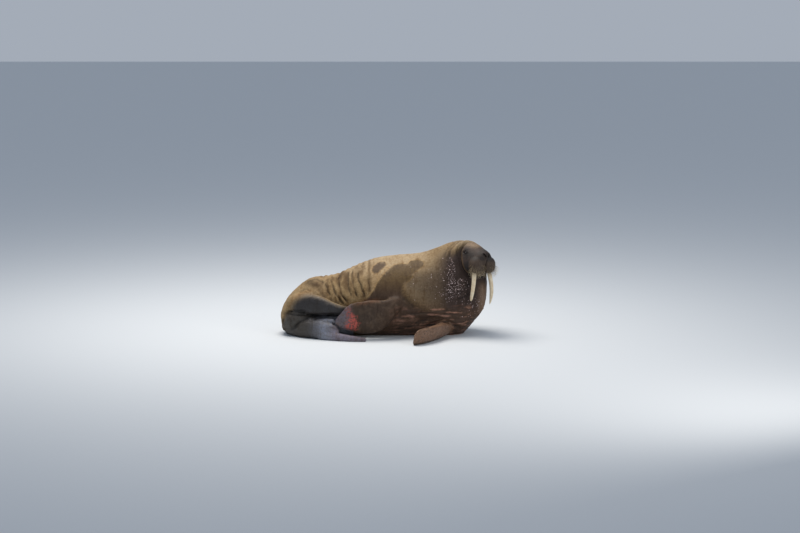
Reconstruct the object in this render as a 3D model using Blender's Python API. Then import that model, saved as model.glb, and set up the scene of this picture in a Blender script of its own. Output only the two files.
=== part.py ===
"""A life-size walrus bull lying on its left side and belly, chest and head raised.

Metres, +Z up. The body runs along X with the head at +X, the belly is turned
towards -Y and the left side is underneath. Each named part of the body is one
closed solid, and neighbours meet face to face with a hairline gap.
"""

import math

import bmesh
import bpy
import numpy as np
from mathutils import Matrix, Vector

# Driving dimensions of the animal
LENGTH = 2.46  # rump to the front of the muzzle, as it lies
HEIGHT = 1.07  # floor to the top of the neck
WIDTH = 0.86  # across the belly
HEAD_WIDTH = 0.34  # across the cheeks
TUSK_RIGHT = 0.315  # what shows of the worn right tusk
TUSK_LEFT = 0.360  # what shows of the left tusk

GAP = 0.0005  # what a cutter is swollen by, so that neighbours never touch
FLOOR_SINK = 0.05  # how far the soft underside is drawn below the floor before it is cut flat

# The trunk is lofted from upright sections across X. Each row holds, as shares of
# LENGTH from the middle, of HEIGHT and of WIDTH: the place along the body, the top, the
# bottom, the height of the widest line, the near side, the far side and the ridge.
SINK = -FLOOR_SINK / HEIGHT
TRUNK_ROWS = (
    (-0.500, 0.180, 0.180, 0.180, -0.110, -0.110, -0.110),
    (-0.495, 0.265, 0.095, 0.175, -0.215, 0.000, -0.110),
    (-0.473, 0.372, 0.000, 0.170, -0.300, 0.100, -0.100),
    (-0.431, 0.480, SINK, 0.190, -0.350, 0.200, -0.060),
    (-0.366, 0.588, SINK, 0.240, -0.385, 0.310, -0.020),
    (-0.293, 0.612, SINK, 0.270, -0.415, 0.380, 0.000),
    (-0.230, 0.640, SINK, 0.290, -0.445, 0.425, 0.010),
    (-0.163, 0.712, SINK, 0.310, -0.470, 0.460, 0.020),
    (-0.061, 0.800, SINK, 0.340, -0.490, 0.490, 0.020),
    (0.041, 0.834, SINK, 0.365, -0.500, 0.500, 0.020),
    (0.150, 0.858, SINK, 0.385, -0.500, 0.500, 0.010),
    (0.228, 0.916, SINK, 0.400, -0.485, 0.475, 0.000),
    (0.293, 0.978, SINK, 0.410, -0.455, 0.425, -0.020),
    (0.350, 1.000, 0.000, 0.420, -0.415, 0.350, -0.045),
    (0.402, 0.965, 0.135, 0.440, -0.345, 0.255, -0.075),
    (0.438, 0.860, 0.240, 0.470, -0.270, 0.140, -0.100),
    (0.456, 0.715, 0.355, 0.500, -0.200, 0.030, -0.110),
    (0.462, 0.530, 0.530, 0.530, -0.105, -0.105, -0.105),
)
TRUNK_SIDES = 40
END_RINGS = 9  # rings in each rounded end
MID_STEP = 0.075  # spacing of the other rings
UPPER_POWER = 2.0  # roundness of the upper half of a section
LOWER_POWER = 2.3  # a little squarer underneath, where the fat settles

# Skin folds over the loins, where the hind end bends towards the belly
FOLD_FIRST = -0.315  # share of LENGTH where the first crease is
FOLD_LAST = -0.085
FOLD_COUNT = 9
FOLD_DEPTH = 0.011
FOLD_LEAN = 0.10  # how far a crease leans forward on its way down

# Planes that part the trunk: a point's shares of LENGTH and HEIGHT, and a normal
LOIN_CUT = (-0.245, 0.0, (1.0, 0.0, 0.0))
RIB_CUT = (0.105, 0.0, (1.0, 0.0, 0.0))
NECK_CUT = (0.352, 0.70, (0.62, -0.10, 0.78))

# The head's own frame: forward, left and up, with its origin between the eyes
HEAD_AT = Vector((0.986, -0.200, 0.962))
HEAD_YAW = math.radians(37)  # turned this far from facing -Y towards +X
HEAD_ROLL = math.radians(4)  # left side a little lower
HEAD_PITCH = math.radians(2)  # nose a little down
HOOD_AT = (-0.105, 0.0, -0.072)
HOOD_RADII = (0.168, 0.142)  # to the middle of the roll, sideways and up
HOOD_THICK = 0.044
HOOD_LEAN = math.radians(22)  # its lower side comes forward
EYE_AT = (0.000, 0.335, 0.000)  # forward in metres, out as a share of HEAD_WIDTH, up
EYE_RADIUS = 0.021
PAD_AT = (0.163, 0.225, -0.122)
PAD_RADII = (0.090, 0.090, 0.096)
PAD_POWER = 2.3  # squareness of a pad
TUSK_OUT = 0.295  # share of HEAD_WIDTH from the middle to a tusk's root
WHISKER_SPREAD = 236  # ways out of a pad; a bristle stands on those over its front and side

SKIN = {"back": (0.40, 0.31, 0.20), "chest": (0.17, 0.12, 0.09), "face": (0.13, 0.11, 0.10)}
BARE = (0.12, 0.12, 0.14)
IVORY = (0.72, 0.62, 0.45)
DARK_EYE = (0.02, 0.012, 0.01)


def clear_scene():
    for thing in list(bpy.data.objects):
        bpy.data.objects.remove(thing)


def collection(name):
    made = bpy.data.collections.new(name)
    bpy.context.scene.collection.children.link(made)
    return made


def material(name, colour, roughness=0.6):
    made = bpy.data.materials.new(name)
    made.use_nodes = True
    shader = made.node_tree.nodes["Principled BSDF"]
    shader.inputs["Base Color"].default_value = (*colour, 1)
    shader.inputs["Roughness"].default_value = roughness
    shader.inputs["Metallic"].default_value = 0.0
    return made


def smooth_rows(rows, at):
    """Rows read at the numbers in at, from a Catmull-Rom curve through the given rows."""
    rows = np.array(rows, float)
    ends = np.vstack([2 * rows[0] - rows[1], rows, 2 * rows[-1] - rows[-2]])
    at = np.clip(np.asarray(at, float), 0, len(rows) - 1 - 1e-9)
    k = at.astype(int)
    t = (at - k)[:, None]
    a, b, c, d = ends[k], ends[k + 1], ends[k + 2], ends[k + 3]
    curve = 2 * b + (c - a) * t + (2 * a - 5 * b + 4 * c - d) * t**2
    return (curve + (3 * b - a - 3 * c + d) * t**3) / 2


def smooth_step(x, low, high):
    t = np.clip((x - low) / (high - low), 0, 1)
    return t * t * (3 - 2 * t)


def solid(name, rings, first, last, look, home):
    """A closed solid from rings of points, with one pole before the first and one after the last."""
    count, sides = rings.shape[:2]
    points = np.vstack([rings.reshape(-1, 3), [first], [last]])
    start, end = count * sides, count * sides + 1
    faces = []
    for j in range(sides):
        after = (j + 1) % sides
        faces.append((start, after, j))
        faces.append((end, (count - 1) * sides + j, (count - 1) * sides + after))
        for i in range(count - 1):
            low, high = i * sides, (i + 1) * sides
            faces.append((low + j, low + after, high + after, high + j))
    mesh = bpy.data.meshes.new(name)
    mesh.from_pydata([tuple(p) for p in points], [], faces)
    shape = bmesh.new()
    shape.from_mesh(mesh)
    bmesh.ops.triangulate(shape, faces=shape.faces)
    bmesh.ops.recalc_face_normals(shape, faces=shape.faces)
    if shape.calc_volume(signed=True) < 0:
        bmesh.ops.reverse_faces(shape, faces=shape.faces)
    shape.to_mesh(mesh)
    shape.free()
    made = bpy.data.objects.new(name, mesh)
    made.data.materials.append(look)
    home.objects.link(made)
    return made


def superellipse(angle, power):
    """Cosine and sine of the angle, drawn out towards a squarer shape as the power grows past 2."""
    c, s = np.cos(angle), np.sin(angle)
    return np.sign(c) * abs(c) ** (2 / power), np.sign(s) * abs(s) ** (2 / power)


def tube(name, rows, sides, steps, look, home, up=(0, 0, 1), power=2.0, shape_ring=None):
    """A limb: a loft of ellipses along a path. Each row is x, y, z, half height, half thickness."""
    at = np.linspace(0, len(rows) - 1, steps)
    row = smooth_rows(rows, at)
    path, high, thick = row[:, :3], abs(row[:, 3]), abs(row[:, 4])
    along = np.gradient(path, axis=0)
    along /= np.linalg.norm(along, axis=1)[:, None]
    side = np.cross(along, np.array(up, float))
    side /= np.linalg.norm(side, axis=1)[:, None]
    rise = np.cross(side, along)
    angle = np.linspace(0, 2 * math.pi, sides, endpoint=False)
    c, s = superellipse(angle, power)
    rings = []
    for i in range(1, steps - 1):
        reach, swell = 0.0, 1.0
        if shape_ring:
            reach, swell = shape_ring(i / (steps - 1), s, angle)
        point = path[i] + np.outer(s * high[i], rise[i]) + np.outer(c * thick[i] * swell, side[i])
        rings.append(point + np.outer(reach * np.ones(sides), along[i]))
    return solid(name, np.array(rings), path[0], path[-1], look, home)


def ball(name, centre, radii, turn, look, home, segments=24, rings=16):
    """An ellipsoid from a primitive, turned by a rotation matrix."""
    bpy.ops.mesh.primitive_uv_sphere_add(segments=segments, ring_count=rings, radius=1)
    made = bpy.context.object
    made.name = name
    made.data.name = name
    place = Matrix.Translation(centre) @ turn.to_4x4() @ Matrix.Diagonal((*radii, 1))
    made.data.transform(place)
    made.data.materials.append(look)
    for owner in list(made.users_collection):
        owner.objects.unlink(made)
    home.objects.link(made)
    return made


def swollen(thing, helpers, by=GAP):
    """A copy of a solid with its surface moved out, to cut its neighbour with."""
    copy = bpy.data.objects.new(thing.name + "_cutter", thing.data.copy())
    copy.display_type = "WIRE"
    helpers.objects.link(copy)
    shape = bmesh.new()
    shape.from_mesh(copy.data)
    shape.normal_update()
    for v in shape.verts:
        v.co += v.normal * by
    shape.to_mesh(copy.data)
    shape.free()
    return copy


def largest_only(thing):
    """Keeps the largest closed surface of a mesh, and drops loose scraps and sealed hollows."""
    shape = bmesh.new()
    shape.from_mesh(thing.data)
    left = set(shape.faces)
    pieces = []
    while left:
        grown, edge = set(), [left.pop()]
        while edge:
            face = edge.pop()
            grown.add(face)
            for side in face.edges:
                for other in side.link_faces:
                    if other in left:
                        left.remove(other)
                        edge.append(other)
        pieces.append(grown)
    pieces.sort(key=lambda faces: sum(f.calc_area() for f in faces))
    scraps = [f for faces in pieces[:-1] for f in faces]
    bmesh.ops.delete(shape, geom=scraps, context="FACES")
    shape.to_mesh(thing.data)
    shape.free()


def boolean(thing, others, operation, solver="MANIFOLD"):
    """Cuts or joins a mesh with others at once, applies it and removes the others."""
    group = bpy.data.collections.new("operands")
    bpy.context.scene.collection.children.link(group)
    for other in others:
        for owner in list(other.users_collection):
            owner.objects.unlink(other)
        group.objects.link(other)
    modifier = thing.modifiers.new("boolean", "BOOLEAN")
    modifier.operation = operation
    modifier.solver = solver
    modifier.operand_type = "COLLECTION"
    modifier.collection = group
    graph = bpy.context.evaluated_depsgraph_get()
    done = bpy.data.meshes.new_from_object(thing.evaluated_get(graph))
    thing.modifiers.clear()
    thing.data = done
    for other in others:
        bpy.data.objects.remove(other)
    bpy.data.collections.remove(group)
    largest_only(thing)


def tidy(thing, within=0.00005):
    """Merges points that a cut left nearly on top of one another, and drops faces with no area."""
    shape = bmesh.new()
    shape.from_mesh(thing.data)
    bmesh.ops.remove_doubles(shape, verts=shape.verts, dist=within)
    bmesh.ops.dissolve_degenerate(shape, dist=within / 4, edges=shape.edges)
    bmesh.ops.triangulate(shape, faces=shape.faces)
    shape.to_mesh(thing.data)
    shape.free()


def keep_side(thing, point, normal):
    """Cuts a mesh by a plane, keeps the side that the normal points to and caps it."""
    shape = bmesh.new()
    shape.from_mesh(thing.data)
    geometry = shape.verts[:] + shape.edges[:] + shape.faces[:]
    cut = bmesh.ops.bisect_plane(
        shape, geom=geometry, dist=1e-6, plane_co=point, plane_no=normal, clear_inner=True
    )
    rim = [e for e in cut["geom_cut"] if isinstance(e, bmesh.types.BMEdge)]
    bmesh.ops.edgenet_fill(shape, edges=rim)
    bmesh.ops.triangulate(shape, faces=shape.faces)
    bmesh.ops.recalc_face_normals(shape, faces=shape.faces)
    shape.to_mesh(thing.data)
    shape.free()


def head_turn():
    """The head's frame as a matrix whose columns are forward, left and up."""
    level = Matrix(
        (
            (math.sin(HEAD_YAW), math.cos(HEAD_YAW), 0),
            (-math.cos(HEAD_YAW), math.sin(HEAD_YAW), 0),
            (0, 0, 1),
        )
    )
    roll = Matrix.Rotation(-HEAD_ROLL, 3, "X")
    pitch = Matrix.Rotation(HEAD_PITCH, 3, "Y")
    return level @ roll @ pitch


HEAD_TURN = head_turn()


def on_head(forward, left, up):
    """A place on the head, in the world."""
    return HEAD_AT + HEAD_TURN @ Vector((forward, left, up))


def trunk_rings():
    """The places of the trunk's rings along its rows: close in the round ends and at the folds."""
    fine = np.linspace(0, len(TRUNK_ROWS) - 1, 4000)
    place = smooth_rows(TRUNK_ROWS, fine)[:, 0]
    last = len(TRUNK_ROWS) - 1
    first_end = 3 * np.sin(np.linspace(0.10, 1, END_RINGS) * math.pi / 2) ** 1.4
    last_end = last - 4 * np.sin(np.linspace(0.10, 1, END_RINGS + 1) * math.pi / 2) ** 1.4
    step = MID_STEP / LENGTH
    first_mid, last_mid = place[fine.searchsorted(3)], place[fine.searchsorted(last - 4)]
    body = np.arange(first_mid + step, last_mid - step / 2, step)
    folds = np.linspace(FOLD_FIRST, FOLD_LAST, 2 * FOLD_COUNT + 1)
    body = body[(body < FOLD_FIRST - step / 2) | (body > FOLD_LAST + step / 2)]
    mid = np.interp(np.concatenate([body, folds]), place, fine)
    return np.unique(np.round(np.concatenate([first_end, last_end, mid]), 5))


def fold_share(place):
    """How deep in a crease a place along the body is: 1 at the bottom of a crease, 0 on a fold's crest."""
    turns = (place - FOLD_FIRST) / (FOLD_LAST - FOLD_FIRST) * FOLD_COUNT
    inside = smooth_step(turns, -0.4, 0.8) * (1 - smooth_step(turns, FOLD_COUNT - 1.0, FOLD_COUNT + 0.4))
    return inside * (0.5 - 0.5 * np.cos(2 * math.pi * turns))


def make_trunk(look, home):
    at = trunk_rings()
    rows = smooth_rows(TRUNK_ROWS, at)
    angle = np.linspace(0, 2 * math.pi, TRUNK_SIDES, endpoint=False)
    cu, su = superellipse(angle, UPPER_POWER)
    cl, sl = superellipse(angle, LOWER_POWER)
    upper = np.sin(angle) >= 0
    c, s = np.where(upper, cu, cl), np.where(upper, su, sl)
    rings = []
    for place, top, bottom, waist, near, far, ridge in rows:
        across = np.where(c < 0, ridge - near, far - ridge) * WIDTH * c
        height = np.where(upper, top - waist, waist - bottom) * HEIGHT * s
        along = np.full_like(c, place * LENGTH)
        point = np.stack([along, ridge * WIDTH + across, waist * HEIGHT + height], 1)
        near_share = smooth_step(-c, -0.9, 0.3) * smooth_step(point[:, 2], 0.12, 0.40)
        inward = FOLD_DEPTH * fold_share(place) * near_share
        middle = np.array([place * LENGTH, ridge * WIDTH, waist * HEIGHT])
        out = point - middle
        point -= out / np.maximum(np.linalg.norm(out, axis=1), 0.05)[:, None] * inward[:, None]
        lean = FOLD_LEAN * math.exp(-(((place + 0.275) / 0.085) ** 2))
        drop = np.clip((top * HEIGHT - point[:, 2]) / 0.30, 0, 1.1)
        point[:, 0] += lean * drop * smooth_step(-c, -0.6, 0.5) * smooth_step(point[:, 2], 0.0, 0.2)
        rings.append(point)
    ends = []
    for row in (TRUNK_ROWS[0], TRUNK_ROWS[-1]):
        ends.append((row[0] * LENGTH, row[6] * WIDTH, row[3] * HEIGHT))
    trunk = solid("trunk", np.array(rings), ends[0], ends[1], look, home)
    keep_side(trunk, (0, 0, 0), (0, 0, 1))
    return trunk


def paddle(name, rows, digits, look, home, up, ridge=0.20, lobe=0.016, steps=17, sides=32):
    """A flipper: a flat limb with a raised ridge along each digit and a lobed margin."""

    def shape_ring(share, across, angle):
        grown = smooth_step(share, 0.35, 0.75)
        wave = np.cos(math.pi * digits * (across + 1))
        swell = 1 + ridge * grown * wave
        reach = lobe * smooth_step(share, 0.7, 1.0) * wave
        return reach, swell

    return tube(name, rows, sides, steps, look, home, up=up, power=2.5, shape_ring=shape_ring)


def nails(name, places, directions, look, home):
    """Small claws as tapered pegs, to be fused to the digits that they grow from."""
    made = []
    for place, way in zip(places, directions):
        way = Vector(way).normalized()
        start = Vector(place) - way * 0.012
        rows = [
            (*start, 0.0, 0.0),
            (*(start + way * 0.006), 0.007, 0.006),
            (*(start + way * 0.020), 0.006, 0.005),
            (*(start + way * 0.034), 0.0, 0.0),
        ]
        made.append(tube(name, rows, 6, 6, look, home, up=(0.1, 0.3, 1)))
    return made


def make_hind_right(look, home):
    """The upper hind flipper, folded forward along the belly with its digits closed."""
    rows = (
        (-1.080, -0.120, 0.290, 0.060, 0.060),
        (-1.060, -0.200, 0.335, 0.130, 0.110),
        (-1.000, -0.270, 0.372, 0.118, 0.105),
        (-0.880, -0.345, 0.380, 0.118, 0.080),
        (-0.751, -0.415, 0.368, 0.106, 0.062),
        (-0.630, -0.462, 0.348, 0.074, 0.046),
        (-0.530, -0.485, 0.334, 0.056, 0.034),
        (-0.440, -0.492, 0.330, 0.048, 0.024),
        (-0.375, -0.492, 0.330, 0.036, 0.014),
        (-0.350, -0.492, 0.330, 0.000, 0.000),
    )
    return paddle("hind_flipper_right", rows, 3, look, home, (0, 0, 1), ridge=0.12, steps=18, sides=24)


def make_hind_left(look, home):
    """The lower hind flipper, lying on the floor, with its digits a little apart."""
    heel = (
        (-1.195, -0.150, 0.160, 0.000, 0.000),
        (-1.185, -0.170, 0.162, 0.070, 0.060),
        (-1.140, -0.210, 0.168, 0.096, 0.090),
        (-1.050, -0.280, 0.175, 0.092, 0.085),
        (-0.950, -0.345, 0.190, 0.066, 0.060),
        (-0.860, -0.390, 0.205, 0.040, 0.040),
        (-0.800, -0.410, 0.210, 0.000, 0.000),
    )
    foot = (
        (-1.150, -0.080, 0.070, 0.000, 0.000),
        (-1.110, -0.150, 0.070, 0.070, 0.080),
        (-1.000, -0.300, 0.085, 0.088, 0.090),
        (-0.880, -0.410, 0.105, 0.098, 0.075),
        (-0.760, -0.480, 0.115, 0.096, 0.055),
        (-0.660, -0.525, 0.108, 0.080, 0.040),
        (-0.590, -0.550, 0.090, 0.050, 0.028),
        (-0.560, -0.556, 0.080, 0.000, 0.000),
    )
    digits = (
        # The upper digit, the middle one and the long one that lies on the floor
        (
            (-0.860, -0.410, 0.165, 0.000, 0.000),
            (-0.820, -0.425, 0.178, 0.036, 0.034),
            (-0.720, -0.470, 0.196, 0.037, 0.030),
            (-0.630, -0.505, 0.206, 0.032, 0.024),
            (-0.590, -0.515, 0.208, 0.000, 0.000),
        ),
        (
            (-0.780, -0.470, 0.120, 0.000, 0.000),
            (-0.740, -0.490, 0.130, 0.036, 0.032),
            (-0.660, -0.530, 0.142, 0.032, 0.026),
            (-0.610, -0.550, 0.146, 0.000, 0.000),
        ),
        (
            (-0.860, -0.440, 0.050, 0.000, 0.000),
            (-0.800, -0.475, 0.048, 0.050, 0.046),
            (-0.640, -0.560, 0.044, 0.052, 0.040),
            (-0.480, -0.615, 0.034, 0.042, 0.036),
            (-0.340, -0.640, 0.024, 0.034, 0.030),
            (-0.265, -0.645, 0.018, 0.022, 0.022),
            (-0.240, -0.645, 0.016, 0.000, 0.000),
        ),
    )
    whole = paddle("hind_flipper_left", foot, 3, look, home, (0, 0, 1), ridge=0.08, steps=13, sides=20)
    others = [tube("heel", heel, 16, 10, look, home)]
    others += [tube("digit", rows, 10, 10, look, home) for rows in digits]
    boolean(whole, others, "UNION")
    return whole


def make_fore_right(look, home):
    """The upper fore flipper, laid back along the belly with its longest digit lowest."""
    rows = (
        (0.210, -0.300, 0.420, 0.000, 0.000),
        (0.170, -0.350, 0.415, 0.060, 0.055),
        (0.080, -0.440, 0.392, 0.090, 0.062),
        (0.000, -0.490, 0.336, 0.136, 0.056),
        (-0.140, -0.522, 0.278, 0.190, 0.044),
        (-0.270, -0.535, 0.258, 0.188, 0.034),
        (-0.380, -0.545, 0.256, 0.176, 0.027),
        (-0.470, -0.552, 0.230, 0.122, 0.020),
        (-0.550, -0.556, 0.208, 0.060, 0.013),
        (-0.605, -0.556, 0.195, 0.000, 0.000),
    )
    whole = paddle("fore_flipper_right", rows, 5, look, home, (0, -0.10, 1), ridge=0.16, lobe=0.014)
    places = [(-0.545 + 0.040 * k, -0.575 + 0.004 * k, 0.165 + 0.060 * k) for k in range(5)]
    boolean(whole, nails("nail", places, [(-1, 0, 0.1)] * 5, look, home), "UNION")
    return whole


def make_fore_left(look, home):
    """The lower fore flipper, reaching out from under the chest towards the front."""
    rows = (
        (0.660, -0.150, 0.110, 0.000, 0.000),
        (0.655, -0.220, 0.108, 0.088, 0.080),
        (0.635, -0.330, 0.100, 0.096, 0.072),
        (0.590, -0.460, 0.094, 0.098, 0.060),
        (0.530, -0.590, 0.090, 0.104, 0.050),
        (0.468, -0.705, 0.086, 0.110, 0.042),
        (0.405, -0.795, 0.082, 0.114, 0.034),
        (0.350, -0.860, 0.078, 0.108, 0.027),
        (0.308, -0.905, 0.072, 0.080, 0.018),
        (0.292, -0.925, 0.068, 0.000, 0.000),
    )
    whole = paddle("fore_flipper_left", rows, 5, look, home, (0.55, 0.30, 0.78), ridge=0.14, lobe=0.012)
    return whole


def make_tail(look, home):
    """The short tail, tucked down between the heels."""
    rows = (
        (-1.080, -0.020, 0.210, 0.000, 0.000),
        (-1.130, -0.060, 0.180, 0.045, 0.050),
        (-1.168, -0.105, 0.140, 0.042, 0.046),
        (-1.185, -0.150, 0.095, 0.034, 0.036),
        (-1.182, -0.182, 0.060, 0.020, 0.022),
        (-1.176, -0.194, 0.046, 0.000, 0.000),
    )
    return tube("tail", rows, 14, 12, look, home, up=(0.3, 0, 1))


def make_skull_shape(look, home):
    """The head without its moustache pads: a loft of sections along the head's own forward line."""
    # Forward in metres, half width as a share of HEAD_WIDTH, top, bottom and widest height
    rows = (
        (-0.235, 0.000, -0.040, -0.040, -0.040),
        (-0.225, 0.220, 0.030, -0.130, -0.060),
        (-0.180, 0.400, 0.072, -0.200, -0.090),
        (-0.100, 0.490, 0.098, -0.240, -0.120),
        (-0.020, 0.490, 0.104, -0.252, -0.140),
        (0.050, 0.460, 0.094, -0.250, -0.140),
        (0.110, 0.415, 0.078, -0.232, -0.120),
        (0.165, 0.365, 0.060, -0.185, -0.090),
        (0.210, 0.290, 0.040, -0.130, -0.060),
        (0.240, 0.180, 0.012, -0.090, -0.040),
        (0.252, 0.000, -0.030, -0.030, -0.030),
    )
    sides, steps = 34, 28
    at = np.linspace(0, len(rows) - 1, steps)
    read = smooth_rows(rows, at)
    angle = np.linspace(0, 2 * math.pi, sides, endpoint=False)
    cu, su = superellipse(angle, 1.75)
    cl, sl = superellipse(angle, 2.3)
    c, s = np.where(su > 0, cu, cl), np.where(su > 0, su, sl)
    rings = []
    for forward, half, top, bottom, waist in read[1:-1]:
        left = half * HEAD_WIDTH * c
        up = waist + np.where(s > 0, top - waist, waist - bottom) * s
        ring = []
        for x, y, z in zip(forward * np.ones(sides), left, up):
            brow = math.exp(-(((x - 0.005) / 0.045) ** 2) - ((z - 0.012) / 0.040) ** 2)
            bridge = math.exp(-(((x - 0.115) / 0.05) ** 2) - (y / 0.06) ** 2) * (z > 0)
            ring.append(on_head(x, y * (1 + 0.10 * brow), z - 0.010 * bridge))
        rings.append(ring)
    ends = [on_head(rows[i][0], 0, rows[i][4]) for i in (0, -1)]
    return solid("head", np.array(rings), ends[0], ends[1], look, home)


def add_hood(trunk, helpers, look):
    """The roll of loose skin that rings the base of the head, fused to the neck."""
    bpy.ops.mesh.primitive_torus_add(
        major_segments=34, minor_segments=12, major_radius=1.0, minor_radius=HOOD_THICK / HOOD_RADII[0]
    )
    hood = bpy.context.object
    lean = Matrix.Rotation(math.radians(90) - HOOD_LEAN, 3, "Y")
    wide, high = HOOD_RADII
    shape = Matrix.Diagonal((high, wide, wide, 1))
    hood.data.transform(Matrix.Translation(on_head(*HOOD_AT)) @ (HEAD_TURN @ lean).to_4x4() @ shape)
    hood.data.materials.append(look)
    for owner in list(hood.users_collection):
        owner.objects.unlink(hood)
    helpers.objects.link(hood)
    boolean(trunk, [hood], "UNION")


def make_eye(name, side, look, home):
    forward, out, up = EYE_AT
    centre = on_head(forward, side * (out * HEAD_WIDTH), up)
    return ball(name, centre, (EYE_RADIUS,) * 3, HEAD_TURN, look, home, 14, 8)


def lid(name, side, upper, look, home):
    """A thick eyelid: half a ring of swollen skin over or under the eye."""
    forward, out, up = EYE_AT
    sign = 1 if upper else -1
    rows = []
    for k in range(7):
        turn = math.pi * k / 6
        size = 0.010 * math.sin(0.25 + turn * 0.84) if k not in (0, 6) else 0.0
        ahead = forward + 0.029 * math.cos(turn)
        rise = up + sign * 0.019 * math.sin(turn)
        swell = out * HEAD_WIDTH + 0.012 + 0.004 * math.sin(turn)
        rows.append((*on_head(ahead, side * swell, rise), size, size))
    return tube(name, rows, 8, 13, look, home, up=tuple(HEAD_TURN.col[1]))


def make_pad(side, look, home):
    """One side of the moustache: a full lobe, squarish from the front."""
    name = "muzzle_left" if side > 0 else "muzzle_right"
    forward, out, up = PAD_AT
    centre = on_head(forward, side * out * HEAD_WIDTH, up)
    pad = ball(name, centre, PAD_RADII, HEAD_TURN, look, home, 22, 14)
    for v in pad.data.vertices:
        # Swell the ball towards a box, and let its lower part hang forward and out
        local = HEAD_TURN.transposed() @ (v.co - centre)
        share = Vector((local[i] / PAD_RADII[i] for i in range(3)))
        square = (sum(abs(t) ** PAD_POWER for t in share)) ** (1 / PAD_POWER) or 1
        local = local / square
        local.y += side * 0.012 * max(0, -share.z)
        v.co = centre + HEAD_TURN @ local
    return pad


def whisker_places(side):
    """Roots and directions of the bristles, in rows over the front, side and lower edge of a pad."""
    chance = np.random.default_rng(7 + side)
    forward, out, up = PAD_AT
    centre = np.array([forward, side * out * HEAD_WIDTH, up])
    found = []
    golden = math.pi * (3 - math.sqrt(5))
    for k in range(WHISKER_SPREAD):
        z = 1 - 2 * (k + 0.5) / WHISKER_SPREAD
        flat = math.sqrt(max(0, 1 - z * z))
        way = np.array([flat * math.cos(golden * k), side * flat * math.sin(golden * k), z])
        low, front, outer = -way[2], way[0], side * way[1]
        if not (front > 0.02 and outer > -0.45 and -0.30 < low < 0.93):
            continue
        share = 0.35 + 0.65 * smooth_step(0.6 * low + 0.5 * outer, -0.3, 0.9)
        length = (0.030 + 0.038 * share) * chance.uniform(0.85, 1.15)
        root = centre + way / (sum(abs(way) ** PAD_POWER)) ** (1 / PAD_POWER) * np.array(PAD_RADII)
        root[1] += side * 0.012 * max(0, low)
        lean = way + np.array([0.10, side * 0.20 * max(outer, 0), -0.70 - 0.6 * share])
        found.append((root, way, lean / np.linalg.norm(lean), length))
    return found


def whisker(place, look, home):
    """One stiff tapered bristle with a slight bend, three-sided."""
    root, way, lean, length = place
    base = 0.0022
    stations = (
        (root - way * 0.012, base),
        (root + (way + lean) * 0.25 * length, base * 0.85),
        (root + (way * 0.30 + lean * 0.85) * length * 0.95, base * 0.3),
    )
    cross = np.cross(lean, (0.3, 0.2, 0.9))
    cross /= np.linalg.norm(cross)
    other = np.cross(lean, cross)
    rings = []
    for centre, radius in stations[:2]:
        turn = [2 * math.pi * k / 3 for k in range(3)]
        ring = [centre + radius * (math.cos(t) * cross + math.sin(t) * other) for t in turn]
        rings.append([on_head(*p) for p in ring])
    return solid("whisker", np.array(rings), on_head(*stations[0][0]), on_head(*stations[2][0]), look, home)


def make_jaw(look, home):
    """The small lower jaw and chin behind and below the pads."""
    centre = on_head(0.100, 0, -0.205)
    jaw = ball("lower_jaw", centre, (0.092, 0.078, 0.062), HEAD_TURN, look, home, 24, 14)
    return jaw


def make_tusk(name, side, shown, splay, bow, tip_size, look, home):
    """A tusk: an oval, tapering, gently curved peg that leaves the underside of its pad."""
    root_out = side * TUSK_OUT * HEAD_WIDTH
    rows = [(*on_head(0.155, root_out, -0.163), 0.0, 0.0)]
    for k in range(9):
        t = k / 8
        down = 0.167 + (shown + 0.045) * t
        ahead = 0.155 + 0.030 * math.sin(math.pi * t * 0.85) - 0.020 * t
        out = root_out + side * (splay * t + bow * math.sin(math.pi * t * 0.62))
        size = (0.0305 - 0.0095 * t) * (1 - smooth_step(t, 0.72, 1.12) * (1 - tip_size))
        rows.append((*on_head(ahead, out, -down), size, size * 0.80))
    end = rows[-1]
    rows[-1] = (*end[:3], end[3] * 0.70, end[4] * 0.70)
    way = np.array(end[:3]) - np.array(rows[-2][:3])
    rows.append((*(np.array(end[:3]) + 0.2 * way), 0.0, 0.0))
    return tube(name, rows, 12, 17, look, home, up=tuple(HEAD_TURN.col[0]))


def part_trunk(trunk, looks, home):
    """Parts the trunk into hindquarters, torso, chest and neck, with thin cuts."""
    planes = []
    for place, height, normal in (LOIN_CUT, RIB_CUT, NECK_CUT):
        planes.append((Vector((place * LENGTH, 0, height * HEIGHT)), Vector(normal).normalized()))
    names = ("hindquarters", "torso", "chest", "neck")
    kept = []
    for i, name in enumerate(names):
        made = bpy.data.objects.new(name, trunk.data.copy())
        home.objects.link(made)
        made.data.materials.clear()
        made.data.materials.append(looks[name])
        if i > 0:
            point, normal = planes[i - 1]
            keep_side(made, point + normal * GAP / 2, normal)
        if i < 3:
            point, normal = planes[i]
            keep_side(made, point - normal * GAP / 2, -normal)
        kept.append(made)
    return kept


def carve_nostrils(head, helpers, look):
    """Two slanting nostril slits on the top of the snout, each a curved pit."""
    cutters = []
    for side in (-1, 1):
        rows = (
            (*on_head(0.232, side * 0.014, -0.018), 0.0, 0.0),
            (*on_head(0.234, side * 0.016, -0.010), 0.009, 0.007),
            (*on_head(0.226, side * 0.026, 0.006), 0.013, 0.010),
            (*on_head(0.210, side * 0.036, 0.020), 0.012, 0.008),
            (*on_head(0.200, side * 0.040, 0.026), 0.0, 0.0),
        )
        cutters.append(tube("nostril", rows, 8, 9, look, helpers, up=tuple(HEAD_TURN.col[0])))
    boolean(head, cutters, "DIFFERENCE")


def carve_ears(head, helpers, look):
    """The small ear openings behind the eyes; a walrus has no outer ear."""
    cutters = []
    for side in (-1, 1):
        centre = on_head(-0.090, side * 0.490 * HEAD_WIDTH, -0.045)
        cutters.append(ball("ear", centre, (0.011, 0.020, 0.007), HEAD_TURN, look, helpers, 10, 8))
    boolean(head, cutters, "DIFFERENCE")


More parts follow.
